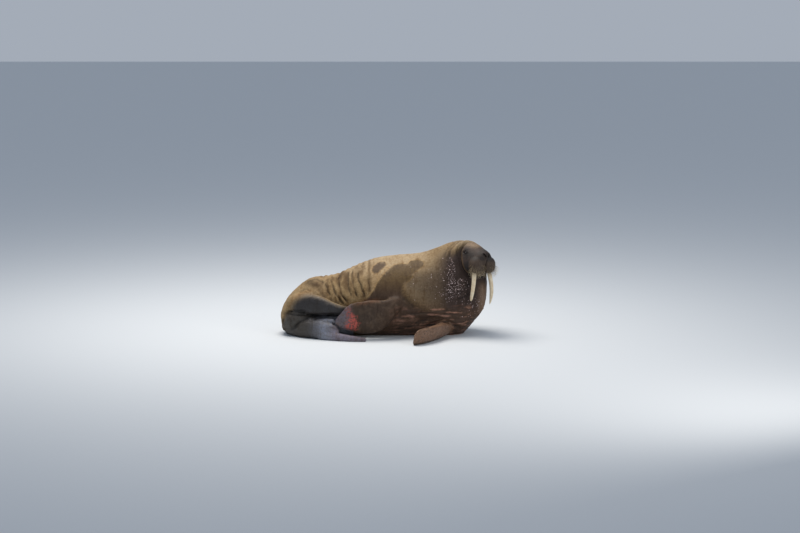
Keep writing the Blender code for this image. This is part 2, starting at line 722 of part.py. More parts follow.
def centre_on_floor(parts):
    """Moves all parts so that the origin is under the middle of the whole, on the floor."""
    corners = np.array([v.co for part in parts for v in part.data.vertices])
    low, high = corners.min(0), corners.max(0)
    middle = (low + high) / 2
    for part in parts:
        part.data.transform(Matrix.Translation((-middle[0], -middle[1], 0)))


def main():
    clear_scene()
    home = collection("walrus")
    helpers = collection("cutters")
    helpers.hide_render = True
    looks = {
        "hindquarters": material("back_hide", SKIN["back"]),
        "chest": material("chest_hide", SKIN["chest"]),
        "face": material("face_hide", SKIN["face"]),
        "bare": material("bare_skin", BARE, 0.45),
        "ivory": material("ivory", IVORY, 0.35),
        "eye": material("wet_eye", DARK_EYE, 0.08),
    }
    looks["torso"] = looks["hindquarters"]
    looks["neck"] = looks["chest"]
    floor = ((0, 0, 0), (0, 0, 1))

    trunk = make_trunk(looks["torso"], helpers)
    add_hood(trunk, helpers, looks["torso"])
    hind_right = make_hind_right(looks["bare"], home)
    boolean(hind_right, [swollen(trunk, helpers)], "DIFFERENCE")
    hind_left = make_hind_left(looks["bare"], home)
    keep_side(hind_left, *floor)
    boolean(hind_left, [swollen(trunk, helpers)], "DIFFERENCE")
    boolean(hind_left, [swollen(hind_right, helpers)], "DIFFERENCE")
    tail = make_tail(looks["bare"], home)
    keep_side(tail, *floor)
    for other in (trunk, hind_left, hind_right):
        boolean(tail, [swollen(other, helpers)], "DIFFERENCE")
    fore_right = make_fore_right(looks["chest"], home)
    for other in (trunk, hind_left, hind_right):
        boolean(fore_right, [swollen(other, helpers)], "DIFFERENCE")
    fore_left = make_fore_left(looks["chest"], home)
    keep_side(fore_left, *floor)
    boolean(fore_left, [swollen(trunk, helpers)], "DIFFERENCE")

    head = make_skull_shape(looks["face"], home)
    lids = []
    for side in (-1, 1):
        lids += [lid("lid", side, upper, looks["face"], helpers) for upper in (True, False)]
    boolean(head, lids, "UNION")
    eyes = [make_eye("eye_right", -1, looks["eye"], home), make_eye("eye_left", 1, looks["eye"], home)]
    for eye in eyes:
        boolean(head, [swollen(eye, helpers)], "DIFFERENCE")
    carve_nostrils(head, helpers, looks["face"])
    carve_ears(head, helpers, looks["face"])
    boolean(head, [swollen(trunk, helpers)], "DIFFERENCE")

    tusks = {
        -1: make_tusk("tusk_right", -1, TUSK_RIGHT, -0.010, 0.018, 0.72, looks["ivory"], home),
        1: make_tusk("tusk_left", 1, TUSK_LEFT, 0.034, 0.042, 0.30, looks["ivory"], home),
    }
    boolean(head, [swollen(tusk, helpers) for tusk in tusks.values()], "DIFFERENCE")
    pads = []
    for side in (-1, 1):
        pad = make_pad(side, looks["face"], home)
        middle = HEAD_TURN @ Vector((0, side, 0))
        keep_side(pad, HEAD_AT + middle * GAP, middle)
        boolean(pad, [swollen(head, helpers)], "DIFFERENCE")
        bristles = [whisker(place, looks["ivory"], helpers) for place in whisker_places(side)]
        boolean(pad, bristles, "UNION")
        boolean(pad, [swollen(tusk, helpers) for tusk in tusks.values()], "DIFFERENCE")
        pads.append(pad)
    jaw = make_jaw(looks["face"], home)
    for other in (head, trunk, *pads, *tusks.values()):
        boolean(jaw, [swollen(other, helpers)], "DIFFERENCE")

    body = part_trunk(trunk, looks, home)
    bpy.data.objects.remove(trunk)
    limbs = [hind_right, hind_left, tail, fore_right, fore_left]
    parts = [*body, *limbs, head, *eyes, *pads, jaw, *tusks.values()]
    for part in parts:
        tidy(part)
        largest_only(part)
        part.data.shade_smooth()
    centre_on_floor(parts)


main()
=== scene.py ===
"""The looks of a life-size walrus bull at rest, built around its solid model.

One skin covers the flesh. It is made from copies of the flesh nodes, blended where they meet,
and then sculpted: folds of the loins and belly, hood, eyelids, nostrils, moustache, warts of
the neck. The eyes, tusks, claws and whiskers are pieces of their own.

Marks on the side turned to the viewer are drawn on a grid of 11.5 mm squares laid over the
animal's side view, with x from tail to head and y down.
"""

import math

import bmesh
import bpy
import numpy as np
from mathutils import Matrix, Vector, kdtree
from mathutils import noise as turbulence
from mathutils.bvhtree import BVHTree


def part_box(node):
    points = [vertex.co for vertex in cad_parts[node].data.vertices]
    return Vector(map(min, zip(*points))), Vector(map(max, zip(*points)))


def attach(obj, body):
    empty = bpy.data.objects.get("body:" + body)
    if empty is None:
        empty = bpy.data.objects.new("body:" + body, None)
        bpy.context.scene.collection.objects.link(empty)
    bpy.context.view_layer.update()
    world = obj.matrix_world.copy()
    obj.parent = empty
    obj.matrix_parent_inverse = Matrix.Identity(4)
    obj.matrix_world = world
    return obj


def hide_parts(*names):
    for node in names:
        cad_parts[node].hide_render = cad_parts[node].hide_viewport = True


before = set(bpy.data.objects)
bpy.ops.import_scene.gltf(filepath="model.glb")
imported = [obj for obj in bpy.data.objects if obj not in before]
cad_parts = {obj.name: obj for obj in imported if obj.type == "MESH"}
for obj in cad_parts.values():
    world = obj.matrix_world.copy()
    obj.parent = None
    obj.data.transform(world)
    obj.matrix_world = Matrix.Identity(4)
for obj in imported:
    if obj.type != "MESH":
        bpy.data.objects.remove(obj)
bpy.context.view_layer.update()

GRID = 0.0115  # size of a square of the side view's grid
GRID_MIDDLE = (388.0, 332.0)
LOOK_DOWN = math.radians(9)  # the side view looks down by this much

HEAD_AT = Vector((0.986, -0.200, 0.962))  # between the eyes, before the body was centred
HEAD_YAW = math.radians(37)
HEAD_ROLL = math.radians(4)
HEAD_PITCH = math.radians(2)
HEAD_WIDTH = 0.34
EYE_OUT = 0.335 * HEAD_WIDTH
EYE_RADIUS = 0.021
PAD_AT = (0.163, 0.225 * HEAD_WIDTH, -0.122)
PAD_RADII = (0.090, 0.090, 0.096)
PAD_POWER = 2.3
TUSK_OUT = 0.295 * HEAD_WIDTH

FLESH = (
    "hindquarters",
    "torso",
    "chest",
    "neck",
    "head",
    "lower_jaw",
    "fore_flipper_right",
    "fore_flipper_left",
    "hind_flipper_right",
    "hind_flipper_left",
    "tail",
)
MUZZLE = ("muzzle_right", "muzzle_left")
FLIPPERS = FLESH[6:]
# Distances from the middle of an eye, and how far out the lid stands there
LID_PROFILE = (
    (0.0, 0.0105, 0.0130, 0.0165, 0.0210, 0.0270),
    (0.002, 0.004, 0.0155, 0.0215, 0.0185, 0.0115),
)
WHISKER_WAYS = 820  # tried on each side; about one in six grows
WHISKER_RADIUS = 0.0010
WHISKER_SIDES = 5
WHISKER_RINGS = 7
WHISKER_SINK = 0.012  # how far its root lies under the skin
CLAW_LENGTH = 0.026
CLAW_RADIUS = 0.0052
CLAWS = 5
CAMERA_AWAY = 45.0
CAMERA_AIM = (400, 266.5)  # the middle of the picture, on the side view's grid
FILM_WIDTH = 36
PICTURE_WIDTH = 800
SKIN_STEP = 0.0055  # size of the squares that the skin is first knitted from
SKIN_TRIANGLES = 190000


def head_turn():
    """The head's frame as a matrix whose columns are forward, left and up."""
    level = Matrix(
        (
            (math.sin(HEAD_YAW), math.cos(HEAD_YAW), 0),
            (-math.cos(HEAD_YAW), math.sin(HEAD_YAW), 0),
            (0, 0, 1),
        )
    )
    return level @ Matrix.Rotation(-HEAD_ROLL, 3, "X") @ Matrix.Rotation(HEAD_PITCH, 3, "Y")


HEAD_TURN = head_turn()
TURN = np.array(HEAD_TURN)


def middle_shift():
    """How far the body was moved to stand over the origin, read off the right eye."""
    low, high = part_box("eye_right")
    eye = (Vector(low) + Vector(high)) / 2
    return HEAD_AT + HEAD_TURN @ Vector((0, -EYE_OUT, 0)) - eye


SHIFT = np.array(middle_shift()) * (1, 1, 0)
HEAD_ORIGIN = np.array(HEAD_AT) - SHIFT


def on_head(forward, left, up):
    """A place on the head, in the world."""
    return Vector(HEAD_ORIGIN + TURN @ np.array((forward, left, up)))


def head_places(points):
    """World points as forward, left and up from between the eyes."""
    return (points - HEAD_ORIGIN) @ TURN


def side_view(points):
    """World points on the grid of the side view."""
    moved = points + SHIFT
    high = math.cos(LOOK_DOWN) * moved[:, 2] + math.sin(LOOK_DOWN) * moved[:, 1]
    return np.stack([GRID_MIDDLE[0] + moved[:, 0] / GRID, GRID_MIDDLE[1] - high / GRID], 1)


def step(x, low, high):
    """Rises smoothly from 0 at low to 1 at high."""
    t = np.clip((x - low) / (high - low), 0, 1)
    return t * t * (3 - 2 * t)


def swell(away, width):
    """1 where away is 0, falling smoothly to nearly 0 at twice the width."""
    return np.exp(-((away / width) ** 2))


def line_distance(places, line):
    """Distance from each place to a line through the given points, and how far along it, 0 to 1."""
    line = np.array(line, float)
    best = np.full(len(places), 1e9)
    along = np.zeros(len(places))
    reach = np.concatenate([[0], np.cumsum(np.linalg.norm(np.diff(line, axis=0), axis=1))])
    for k in range(len(line) - 1):
        a, b = line[k], line[k + 1]
        way = b - a
        t = np.clip(((places - a) @ way) / (way @ way), 0, 1)
        away = np.linalg.norm(places - a - t[:, None] * way, axis=1)
        nearer = away < best
        best[nearer] = away[nearer]
        along[nearer] = (reach[k] + t[nearer] * (reach[k + 1] - reach[k])) / reach[-1]
    return best, along


def inside_distance(places, outline):
    """Distance from each place to a closed outline, above 0 inside it and below 0 outside."""
    outline = np.array(outline, float)
    ring = np.vstack([outline, outline[:1]])
    away, _ = line_distance(places, ring)
    inside = np.zeros(len(places), bool)
    for a, b in zip(ring[:-1], ring[1:]):
        spans = (a[1] > places[:, 1]) != (b[1] > places[:, 1])
        crossing = a[0] + (places[:, 1] - a[1]) / (b[1] - a[1] + 1e-12) * (b[0] - a[0])
        inside ^= spans & (places[:, 0] < crossing)
    return np.where(inside, away, -away)


# Creases of the side turned to the viewer: width on the grid, depth in metres, then the line
CREASES = (
    # Loins
    (0.55, 0.007, ((317.5, 288.1), (319.5, 290.7), (322.6, 295.2))),
    (0.60, 0.009, ((325.2, 283.0), (327.1, 286.9), (329.0, 292.0), (330.9, 296.4))),
    (
        0.65,
        0.012,
        (
            (330.3, 277.3), (331.6, 281.8), (333.5, 287.5), (336.0, 293.9), (339.9, 299.6),
            (344.3, 305.4),
        ),
    ),
    (0.45, 0.006, ((337.3, 295.2), (341.1, 300.3), (345.0, 305.4))),
    (
        0.60,
        0.011,
        (
            (341.2, 271.5), (340.2, 274.8), (339.2, 278.6), (339.5, 284.3), (340.5, 290.0),
            (342.4, 295.2), (348.8, 304.1),
        ),
    ),
    (
        0.55,
        0.009,
        (
            (347.6, 269.8), (348.2, 274.8), (348.5, 281.1), (348.8, 287.5), (350.0, 292.6),
            (352.6, 298.4),
        ),
    ),
    (
        0.60,
        0.011,
        (
            (353.8, 267.2), (352.0, 274.8), (353.3, 283.0), (354.5, 288.8), (356.4, 293.9),
            (358.0, 299.0),
        ),
    ),
    (
        0.60,
        0.011,
        (
            (357.1, 270.1), (358.2, 276.0), (359.6, 281.8), (361.5, 287.5), (364.1, 293.9),
            (364.7, 300.3),
        ),
    ),
    (0.80, 0.005, ((367.2, 274.0), (368.0, 281.0), (370.2, 288.0), (371.0, 294.0))),
    # Rump
    (0.9, 0.006, ((304.0, 285.5), (309.9, 281.0), (316.3, 279.4), (322.6, 281.6), (325.8, 285.0))),
    (0.5, 0.005, ((300.3, 293.2), (303.5, 290.2), (306.7, 289.1), (311.8, 292.0))),
    (0.5, 0.004, ((297.1, 297.7), (300.3, 295.0), (305.4, 293.4))),
    # Round the heel, under the tail and over the lower hind flipper
    (
        1.15,
        0.018,
        (
            (283.4, 326.5), (283.4, 319.4), (285.2, 314.5), (289.5, 311.5), (296.5, 310.9),
            (303.5, 311.9), (308.6, 314.3),
        ),
    ),
    (
        1.00,
        0.015,
        (
            (306.6, 313.6), (313.7, 315.6), (322.6, 315.3), (332.2, 314.3), (339.2, 314.9),
            (342.4, 316.2),
        ),
    ),
    (0.90, 0.013, ((290.0, 329.5), (292.7, 328.3), (299.0, 323.2), (304.8, 318.8), (311.2, 316.2))),
    (0.40, 0.003, ((289.5, 321.3), (297.1, 319.4), (303.0, 317.8))),
    (0.40, 0.003, ((289.0, 324.6), (296.0, 321.6), (302.0, 319.2))),
    (0.45, 0.006, ((322.6, 321.3), (328.4, 321.0), (333.5, 322.3), (334.8, 324.8))),
    (0.45, 0.006, ((325.2, 326.4), (332.2, 327.0), (339.2, 329.0), (348.2, 331.5), (354.5, 332.8))),
    # Belly and armpit
    (
        0.55,
        0.005,
        (
            (398.0, 316.6), (400.6, 315.1), (408.3, 313.4), (421.0, 312.4), (433.8, 313.6),
            (441.0, 312.4),
        ),
    ),
    (0.45, 0.004, ((441.0, 311.0), (446.5, 310.3), (459.3, 311.2), (466.0, 309.5))),
    (
        0.50,
        0.005,
        (
            (411.0, 319.0), (422.3, 317.3), (430.6, 316.7), (440.2, 314.4), (448.4, 313.0),
            (460.0, 315.0),
        ),
    ),
    (
        0.60,
        0.008,
        (
            (392.2, 327.9), (401.9, 327.6), (411.5, 326.6), (415.9, 322.8), (421.0, 320.2),
            (430.4, 319.0),
        ),
    ),
    (
        0.80,
        0.014,
        (
            (419.7, 328.5), (427.4, 325.3), (437.0, 322.8), (445.3, 321.5), (449.1, 321.7),
            (454.8, 325.3), (463.7, 328.3),
        ),
    ),
    (0.70, 0.006, ((401.0, 297.5), (406.0, 299.5), (411.0, 304.0), (414.0, 309.0))),
    # Neck, beside the hood
    (0.70, 0.006, ((461.2, 243.3), (457.9, 246.6), (456.3, 251.5), (456.8, 258.0))),
    (0.60, 0.005, ((451.5, 246.0), (449.4, 251.0), (449.2, 258.0))),
    (0.60, 0.005, ((458.0, 293.0), (464.0, 289.0), (470.0, 283.0))),
    (0.60, 0.005, ((456.0, 300.0), (465.0, 296.0), (473.0, 289.0))),
)


def crease_fields(points, normals):
    """How far the near side's creases push the skin in, and how much painted shade darkens them, at each
    point.
    """
    flat = side_view(points)
    flat[:, 0] += 0.9 * wander(points, 0.055, 8)
    flat[:, 1] += 0.6 * wander(points, 0.055, 9)
    strength = 0.75 + 0.6 * wander(points, 0.07, 10)
    facing = step(-normals[:, 1], -0.25, 0.25)
    push = np.zeros(len(points))
    dark = np.zeros(len(points))
    for width, depth, line in CREASES:
        corners = np.array(line)
        low, high = corners.min(0) - 7 * width, corners.max(0) + 7 * width
        near = np.flatnonzero(((flat > low) & (flat < high)).all(1) & (facing > 0))
        away, along = line_distance(flat[near], line)
        fade = step(along, 0, 0.16) * step(1 - along, 0, 0.16) * facing[near] * strength[near]
        cut = swell(away, width)
        valley = swell(away, 2.6 * width)
        lip = swell(away - 3.4 * width, 1.5 * width)
        push[near] += depth * fade * (0.40 * lip - 0.55 * cut - 0.75 * valley)
        # Painted shade along the crease and the valley beside it
        dark[near] = np.maximum(dark[near], fade * (0.70 * cut + 0.30 * valley) * min(1, depth / 0.009))
    return push, dark


def wander(points, scale, seed, stretch=(1, 1, 1)):
    """A smooth random field between about -1 and 1 over the given places; scale is its cell size."""
    shift = Vector((seed * 17.3, seed * 5.1, seed * 9.7))
    moved = points / (np.array(stretch) * scale)
    return np.array([turbulence.noise(Vector(p) + shift) for p in moved])


def wrinkle_field(points, normals):
    """The loose hide's wrinkles: soft bars across the loins, along the belly and round the neck."""
    x, y = side_view(points).T
    loins = step(x, 312, 326) * (1 - step(x, 372, 392)) * (1 - step(y, 303, 309))
    belly = step(y, 300, 312) * step(x, 372, 392) * (1 - step(x, 468, 482))
    limbs = np.maximum.reduce([near_node(points, name, 0.004) for name in FLIPPERS])
    belly *= 1 - limbs
    loins *= 1 - limbs
    neck = step(x, 430, 446) * (1 - step(y, 300, 316))
    rest = 1 - np.maximum.reduce([loins, belly, neck])
    push = 0.0060 * loins * wander(points, 0.030, 1, (1, 4, 4))
    push += 0.0055 * belly * wander(points, 0.026, 2, (7, 2, 1))
    push += 0.0030 * neck * wander(points, 0.022, 3, (1, 1.6, 2.2))
    push += 0.0022 * (rest + 0.5 * neck) * wander(points, 0.045, 4, (1, 1.5, 1.5))
    return push


def material(name):
    made = bpy.data.materials.new(name)
    made.use_nodes = True
    return made, made.node_tree.nodes["Principled BSDF"]


def shown_object(name, mesh, looks):
    made = bpy.data.objects.new(name, mesh)
    bpy.context.scene.collection.objects.link(made)
    for look in looks:
        mesh.materials.append(look)
    for face in mesh.polygons:
        face.use_smooth = True
    return made


def pad_points(side, points):
    """The shape of one half of the moustache from a ball's points: squarish, and hanging outwards."""
    share = np.array(points)
    square = (abs(share) ** PAD_POWER).sum(1) ** (1 / PAD_POWER)
    local = share / square[:, None] * PAD_RADII
    local[:, 1] += side * 0.012 * np.maximum(0, -share[:, 2])
    return HEAD_ORIGIN + (np.array((PAD_AT[0], side * PAD_AT[1], PAD_AT[2])) + local) @ TURN.T


def flesh_shape():
    """All the flesh in one mesh, each part a hair fuller so that neighbours run into each other."""
    gathered = bmesh.new()
    for name in FLESH:
        part = bmesh.new()
        part.from_mesh(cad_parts[name].data)
        bmesh.ops.remove_doubles(part, verts=part.verts, dist=1e-5)
        part.normal_update()
        for v in part.verts:
            v.co += v.normal * 0.0012
        scratch = bpy.data.meshes.new("part")
        part.to_mesh(scratch)
        part.free()
        gathered.from_mesh(scratch)
        bpy.data.meshes.remove(scratch)
    for side in (-1, 1):
        ball = bmesh.new()
        bmesh.ops.create_uvsphere(ball, u_segments=32, v_segments=20, radius=1)
        moved = pad_points(side, [v.co for v in ball.verts])
        for v, place in zip(ball.verts, moved):
            v.co = place
        scratch = bpy.data.meshes.new("pad")
        ball.to_mesh(scratch)
        ball.free()
        gathered.from_mesh(scratch)
        bpy.data.meshes.remove(scratch)
    mesh = bpy.data.meshes.new("skin")
    gathered.to_mesh(mesh)
    gathered.free()
    return mesh


def applied(thing):
    """The mesh of an object with its modifiers applied."""
    graph = bpy.context.evaluated_depsgraph_get()
    done = bpy.data.meshes.new_from_object(thing.evaluated_get(graph))
    thing.modifiers.clear()
    old = thing.data
    thing.data = done
    bpy.data.meshes.remove(old)
    return done


def vertex_places(mesh):
    places = np.empty(len(mesh.vertices) * 3)
    mesh.vertices.foreach_get("co", places)
    return places.reshape(-1, 3)


def set_places(mesh, places):
    mesh.vertices.foreach_set("co", places.ravel())
    mesh.update()


def vertex_normals(mesh):
    normals = np.empty(len(mesh.vertices) * 3, np.float32)
    mesh.vertex_normals.foreach_get("vector", normals)
    return normals.reshape(-1, 3).astype(float)


def edge_ends(mesh):
    ends = np.empty(len(mesh.edges) * 2, np.int32)
    mesh.edges.foreach_get("vertices", ends)
    return ends.reshape(-1, 2)


def relaxed(places, ends, rounds, weight, pull=0.5, swell=0.0):
    """Evens a surface out by moving each vertex towards its neighbours, where weight lets it."""
    count = np.bincount(ends.ravel(), minlength=len(places)).astype(float)
    for _ in range(rounds):
        for amount in (pull, -swell):
            if amount == 0:
                continue
            total = np.empty_like(places)
            for axis in range(3):
                line = places[:, axis]
                total[:, axis] = np.bincount(ends[:, 0], line[ends[:, 1]], len(places))
                total[:, axis] += np.bincount(ends[:, 1], line[ends[:, 0]], len(places))
            places = places + (total / count[:, None] - places) * (amount * weight)[:, None]
    return places


def eye_rings(local, side):
    """Distance from the middle of an eye, drawn out lengthwise, on the skin of that side."""
    rings = np.hypot(local[:, 0] / 1.30, (local[:, 2] - 0.001) / 0.88)
    return np.where(side * local[:, 1] > 0.05, rings, 1.0)


def open_eyes(points):
    """Sinks the skin under each eyeball's front, and raises two thick lids round it."""
    local = head_places(points)
    for side in (-1, 1):
        r = eye_rings(local, side)
        out = side * local[:, 1] - EYE_OUT
        lid = np.interp(r, *LID_PROFILE)
        hold = 1 - step(r, 0.0215, 0.0300)
        out = out * (1 - hold) + lid * hold
        local[:, 1] = np.where(r < 0.9, side * (out + EYE_OUT), local[:, 1])
    return HEAD_ORIGIN + local @ TURN.T


def hood_distance(local):
    """How far forward of the crease between the head and the roll of neck skin a place is."""
    forward, left, up = local.T
    ring = -0.082 - np.where(up > 0, 0.25, 0.52) * up
    return forward - ring


def face_fields(points):
    """How far the features of the face push the skin, and the painted shade in their hollows."""
    local = head_places(points)
    forward, left, up = local.T
    push = np.zeros(len(points))
    # dark is painted shade: lid edges, nostrils, ears, mouth corners, folds, the groove and the hood's
    # crease
    dark = np.zeros(len(points))
    for side in (-1, 1):
        r = eye_rings(local, side)
        dark += 0.9 * swell(r - 0.0120, 0.0030) + 0.45 * swell(r - 0.031, 0.005)
        for out_to, depth in ((0.036, 0.0035), (0.052, 0.0025), (0.070, 0.0020)):
            fold = swell(r - out_to, 0.0045) * step(-forward, -0.045, 0.0)
            push -= depth * fold
            dark += 0.25 * fold
        # Nostrils: two slanting slits that look forward and up
        flat = np.stack([left, up], 1)
        path = ((side * 0.019, -0.016), (side * 0.026, -0.004), (side * 0.037, 0.010))
        slit, _ = line_distance(flat, path)
        slit = np.where(forward > 0.16, slit, 1.0)
        hole = swell(slit, 0.0060)
        push += 0.0045 * swell(slit - 0.0135, 0.005) - 0.016 * hole
        dark += 1.6 * swell(slit, 0.0075)
        ear, _ = line_distance(local, ((-0.112, side * 0.163, -0.030), (-0.112, side * 0.166, -0.042)))
        push += 0.003 * swell(ear - 0.016, 0.006) - 0.012 * swell(ear, 0.007)
        dark += 1.2 * swell(ear, 0.007)
        # The corner of the mouth, behind the pad
        path = ((0.150, 0.140, -0.200), (0.090, 0.158, -0.175), (0.062, 0.166, -0.130))
        mouth, _ = line_distance(local, [(ahead, side * out, height) for ahead, out, height in path])
        push -= 0.006 * swell(mouth, 0.008)
        dark += 0.6 * swell(mouth, 0.008)
        # Soft wrinkles across the bridge and down the cheek
        for start, reach in ((0.050, 0.100), (0.078, 0.092), (0.104, 0.085), (0.130, 0.078)):
            path = ((start, side * 0.015, 0.085), (start + 0.012, side * reach, 0.040))
            fold, _ = line_distance(local, path)
            push -= 0.0025 * swell(fold, 0.006)
            dark += 0.25 * swell(fold, 0.006)
        for shift in (0.0, 0.022, 0.045):
            path = ((0.030, 0.155, -0.05), (0.055, 0.165, -0.10), (0.060, 0.160, -0.15))
            path = [(ahead + shift, side * out, height) for ahead, out, height in path]
            fold, _ = line_distance(local, path)
            push -= 0.0022 * swell(fold, 0.006)
            dark += 0.22 * swell(fold, 0.007)
    # The groove between the two halves of the moustache
    groove = swell(left, 0.006) * step(forward, 0.17, 0.22) * (1 - step(up, -0.060, -0.038))
    push -= 0.010 * groove
    dark += 0.9 * groove
    # The hood: a deep crease round the back of the head and a full roll behind it
    away = hood_distance(local)
    near = (1 - step(np.hypot(left, up + 0.07), 0.24, 0.32)) * step(forward, -0.30, -0.22)
    near *= step(up, -0.30, -0.20)
    cut = swell(away, 0.011) * near
    push += (0.014 * swell(away + 0.045, 0.026) * near) - 0.019 * cut
    dark += 0.95 * cut
    for gap, depth in ((-0.095, 0.007), (-0.135, 0.006)):
        cut = swell(away - gap, 0.011) * near
        push -= depth * cut
        dark += 0.5 * cut
    return push, dark


def speck_density(points):
    """Where a bull's neck and shoulder carry pale knobs: 1 where they crowd, 0 where there are none."""
    x, y = side_view(points).T
    across = x - 455 + 0.22 * (y - 280)
    near = 1.15 * np.exp(-((across / 9.5) ** 2) - ((y - 276) / 23) ** 4)
    near += 0.10 * np.exp(-(((x - 424) / 12) ** 2) - ((y - 284) / 12) ** 2)
    near += 0.30 * np.exp(-(((x - 474) / 8) ** 2) - ((y - 305) / 8) ** 2)
    forward, left, up = head_places(points).T
    head = (forward > -0.15) & (up > -0.30) & (abs(left) < 0.24)
    return near * ~head * (points[:, 2] > 0.16)


def warts(points):
    """The larger knobs on the neck and shoulders: how far they raise the skin."""
    chance = np.random.default_rng(11)
    odds = speck_density(points)
    picks = chance.choice(len(points), 700, replace=False, p=odds / odds.sum())
    kept, taken = [], set()
    for pick in picks:
        cell = tuple(np.round(points[pick] / 0.028).astype(int))
        if cell not in taken:
            taken.add(cell)
            kept.append(pick)
    sizes = chance.uniform(0.005, 0.010, len(kept))
    tree = kdtree.KDTree(len(kept))
    for k, pick in enumerate(kept):
        tree.insert(points[pick], k)
    tree.balance()
    raise_by = np.zeros(len(points))
    for i in np.flatnonzero(odds > 0.01):
        _, k, away = tree.find(points[i])
        if away < 0.04:
            raise_by[i] = math.exp(-((away / sizes[k]) ** 2)) * sizes[k]
    return raise_by


def make_skin(look):
    mesh = flesh_shape()
    skin = shown_object("skin", mesh, [])
    knit = skin.modifiers.new("knit", "REMESH")
    knit.mode = "VOXEL"
    knit.voxel_size = SKIN_STEP
    mesh = applied(skin)
    places = vertex_places(mesh)
    ends = edge_ends(mesh)
    # Take the facets of the solids off, and smooth the joins of pads and jaw more
    places = relaxed(places, ends, 46, np.ones(len(places)), 0.6, 0.62)
    x, y = side_view(places).T
    wrist = step(x, 366, 384) * (1 - step(x, 404, 412)) * step(y, 284, 292) * (1 - step(y, 316, 326))
    places = relaxed(places, ends, 70, wrist * (places[:, 1] + SHIFT[1] < -0.2), 0.5)
    local = head_places(places)
    face = step(local[:, 0], -0.02, 0.05) * step(-local[:, 2], -0.04, 0.02)
    places = relaxed(places, ends, 14, 0.25 + 0.75 * face, 0.5)
    set_places(mesh, places)
    refine_face(mesh)
    places = vertex_places(mesh)
    normals = vertex_normals(mesh)
    push, _ = crease_fields(places, normals)
    face_push, _ = face_fields(places)
    local = head_places(places)
    calm = step(local[:, 0], -0.16, -0.08) * step(local[:, 2], -0.34, -0.28)
    push += face_push + 0.55 * warts(places)
    push += (1 - calm) * wrinkle_field(places, normals)
    places = open_eyes(places + normals * push[:, None])
    places[:, 2] = np.maximum(places[:, 2], 0.0)
    set_places(mesh, places)
    thin_out(skin)
    mesh = skin.data
    paint(mesh)
    mesh.materials.append(look)
    for polygon in mesh.polygons:
        polygon.use_smooth = True
    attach(skin, "root")
    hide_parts(*FLESH, *MUZZLE)
    return skin


def refine_face(mesh):
    """Splits the squares round the eyes, the nose and the mouth, where the detail is finest."""
    shape = bmesh.new()
    shape.from_mesh(mesh)
    shape.verts.ensure_lookup_table()
    local = head_places(np.array([v.co for v in shape.verts]))
    eye = np.hypot(local[:, 0], local[:, 2]) < 0.055
    nose = (local[:, 0] > 0.17) & (local[:, 2] > -0.09)
    mouth = (local[:, 0] > 0.19) & (abs(local[:, 1]) < 0.03)
    wanted = (eye & (local[:, 0] > -0.06)) | nose | mouth
    edges = [e for e in shape.edges if wanted[e.verts[0].index] and wanted[e.verts[1].index]]
    bmesh.ops.subdivide_edges(shape, edges=edges, cuts=1, use_grid_fill=True)
    bmesh.ops.triangulate(shape, faces=[f for f in shape.faces if len(f.verts) > 4])
    shape.to_mesh(mesh)
    shape.free()


def thin_out(skin):
    """Takes triangles away where the skin is smooth, and keeps them on the head and the folds."""
    mesh = skin.data
    places = vertex_places(mesh)
    local = head_places(places)
    _, dark = crease_fields(places, vertex_normals(mesh))
    head = step(local[:, 0], -0.22, -0.10)
    keep = np.clip(0.22 + 0.78 * np.maximum.reduce([head, dark, 0.6 * speck_density(places)]), 0, 1)
    group = skin.vertex_groups.new(name="spare")
    levels = np.round((1 - keep) * 10).astype(int)
    for level in range(1, 11):
        chosen = np.flatnonzero(levels == level)
        if len(chosen):
            group.add(chosen.tolist(), level / 10, "REPLACE")
    triangles = sum(len(p.vertices) - 2 for p in mesh.polygons)
    thin = skin.modifiers.new("thin", "DECIMATE")
    thin.ratio = min(1.0, SKIN_TRIANGLES / triangles)
    thin.vertex_group = "spare"
    thin.vertex_group_factor = 1.0
    thin.use_collapse_triangulate = True
    applied(skin)
    skin.vertex_groups.clear()
    print("skin triangles", len(skin.data.polygons), "from", triangles)


# Outlines of the near side's marks, on the side view's grid
SPOT = (
    (371.9, 269.9), (373.8, 266.0), (377.0, 263.5), (381.5, 261.6), (385.3, 262.2), (386.6, 265.4),
    (382.8, 268.6), (379.6, 271.8), (375.7, 273.7), (372.6, 273.0),
)
WET = (
    (364.0, 300.6), (370.0, 295.4), (375.1, 288.4), (377.7, 282.0), (382.8, 275.6), (388.5, 269.2),
    (393.6, 265.4), (400.6, 263.8), (407.6, 264.1), (410.8, 260.9), (415.9, 260.0), (421.0, 260.3),
    (423.9, 262.8), (423.6, 265.4), (419.7, 268.6), (414.6, 271.8), (412.7, 273.7), (412.1, 276.9),
    (409.5, 280.1), (405.7, 282.6), (403.2, 283.9), (403.8, 290.3), (407.0, 295.4), (414.6, 301.7),
    (424.2, 306.8), (433.8, 309.4), (470.0, 312.0), (520.0, 330.0), (520.0, 380.0), (260.0, 380.0),
    (260.0, 330.0), (340.0, 306.5), (352.0, 303.5),
)
HIND_LIMB = (
    (292.0, 312.0), (292.5, 306.0), (296.0, 300.5), (301.0, 297.0), (307.0, 294.6), (313.0, 294.6),
    (320.0, 296.6), (327.0, 299.6), (334.0, 303.0), (341.8, 305.6), (350.0, 306.8), (356.0, 350.0),
    (290.0, 350.0), (285.5, 332.0), (283.5, 325.0), (284.0, 318.0), (287.5, 313.5),
)
SORE = (
    (347.0, 309.0), (351.0, 311.0), (354.0, 314.5), (358.0, 318.0), (359.0, 324.0), (357.0, 329.5),
    (350.0, 330.0), (346.5, 327.0), (347.5, 320.0), (349.0, 315.0),
)
# Lines and spots of the near side, on the same grid
RUMP_STREAK = ((289.0, 306.0), (294.0, 299.0), (301.0, 293.5), (311.0, 291.0))
# The line along the upper hind limb's edge where a painted highlight runs
LIMB_HIGHLIGHT_LINE = ((304.0, 296.6), (313.0, 295.6), (322.0, 298.4), (332.0, 303.0), (342.0, 306.6))
RUSTY_EDGE = ((356.0, 304.5), (362.0, 302.5), (370.0, 301.0), (378.0, 300.0))
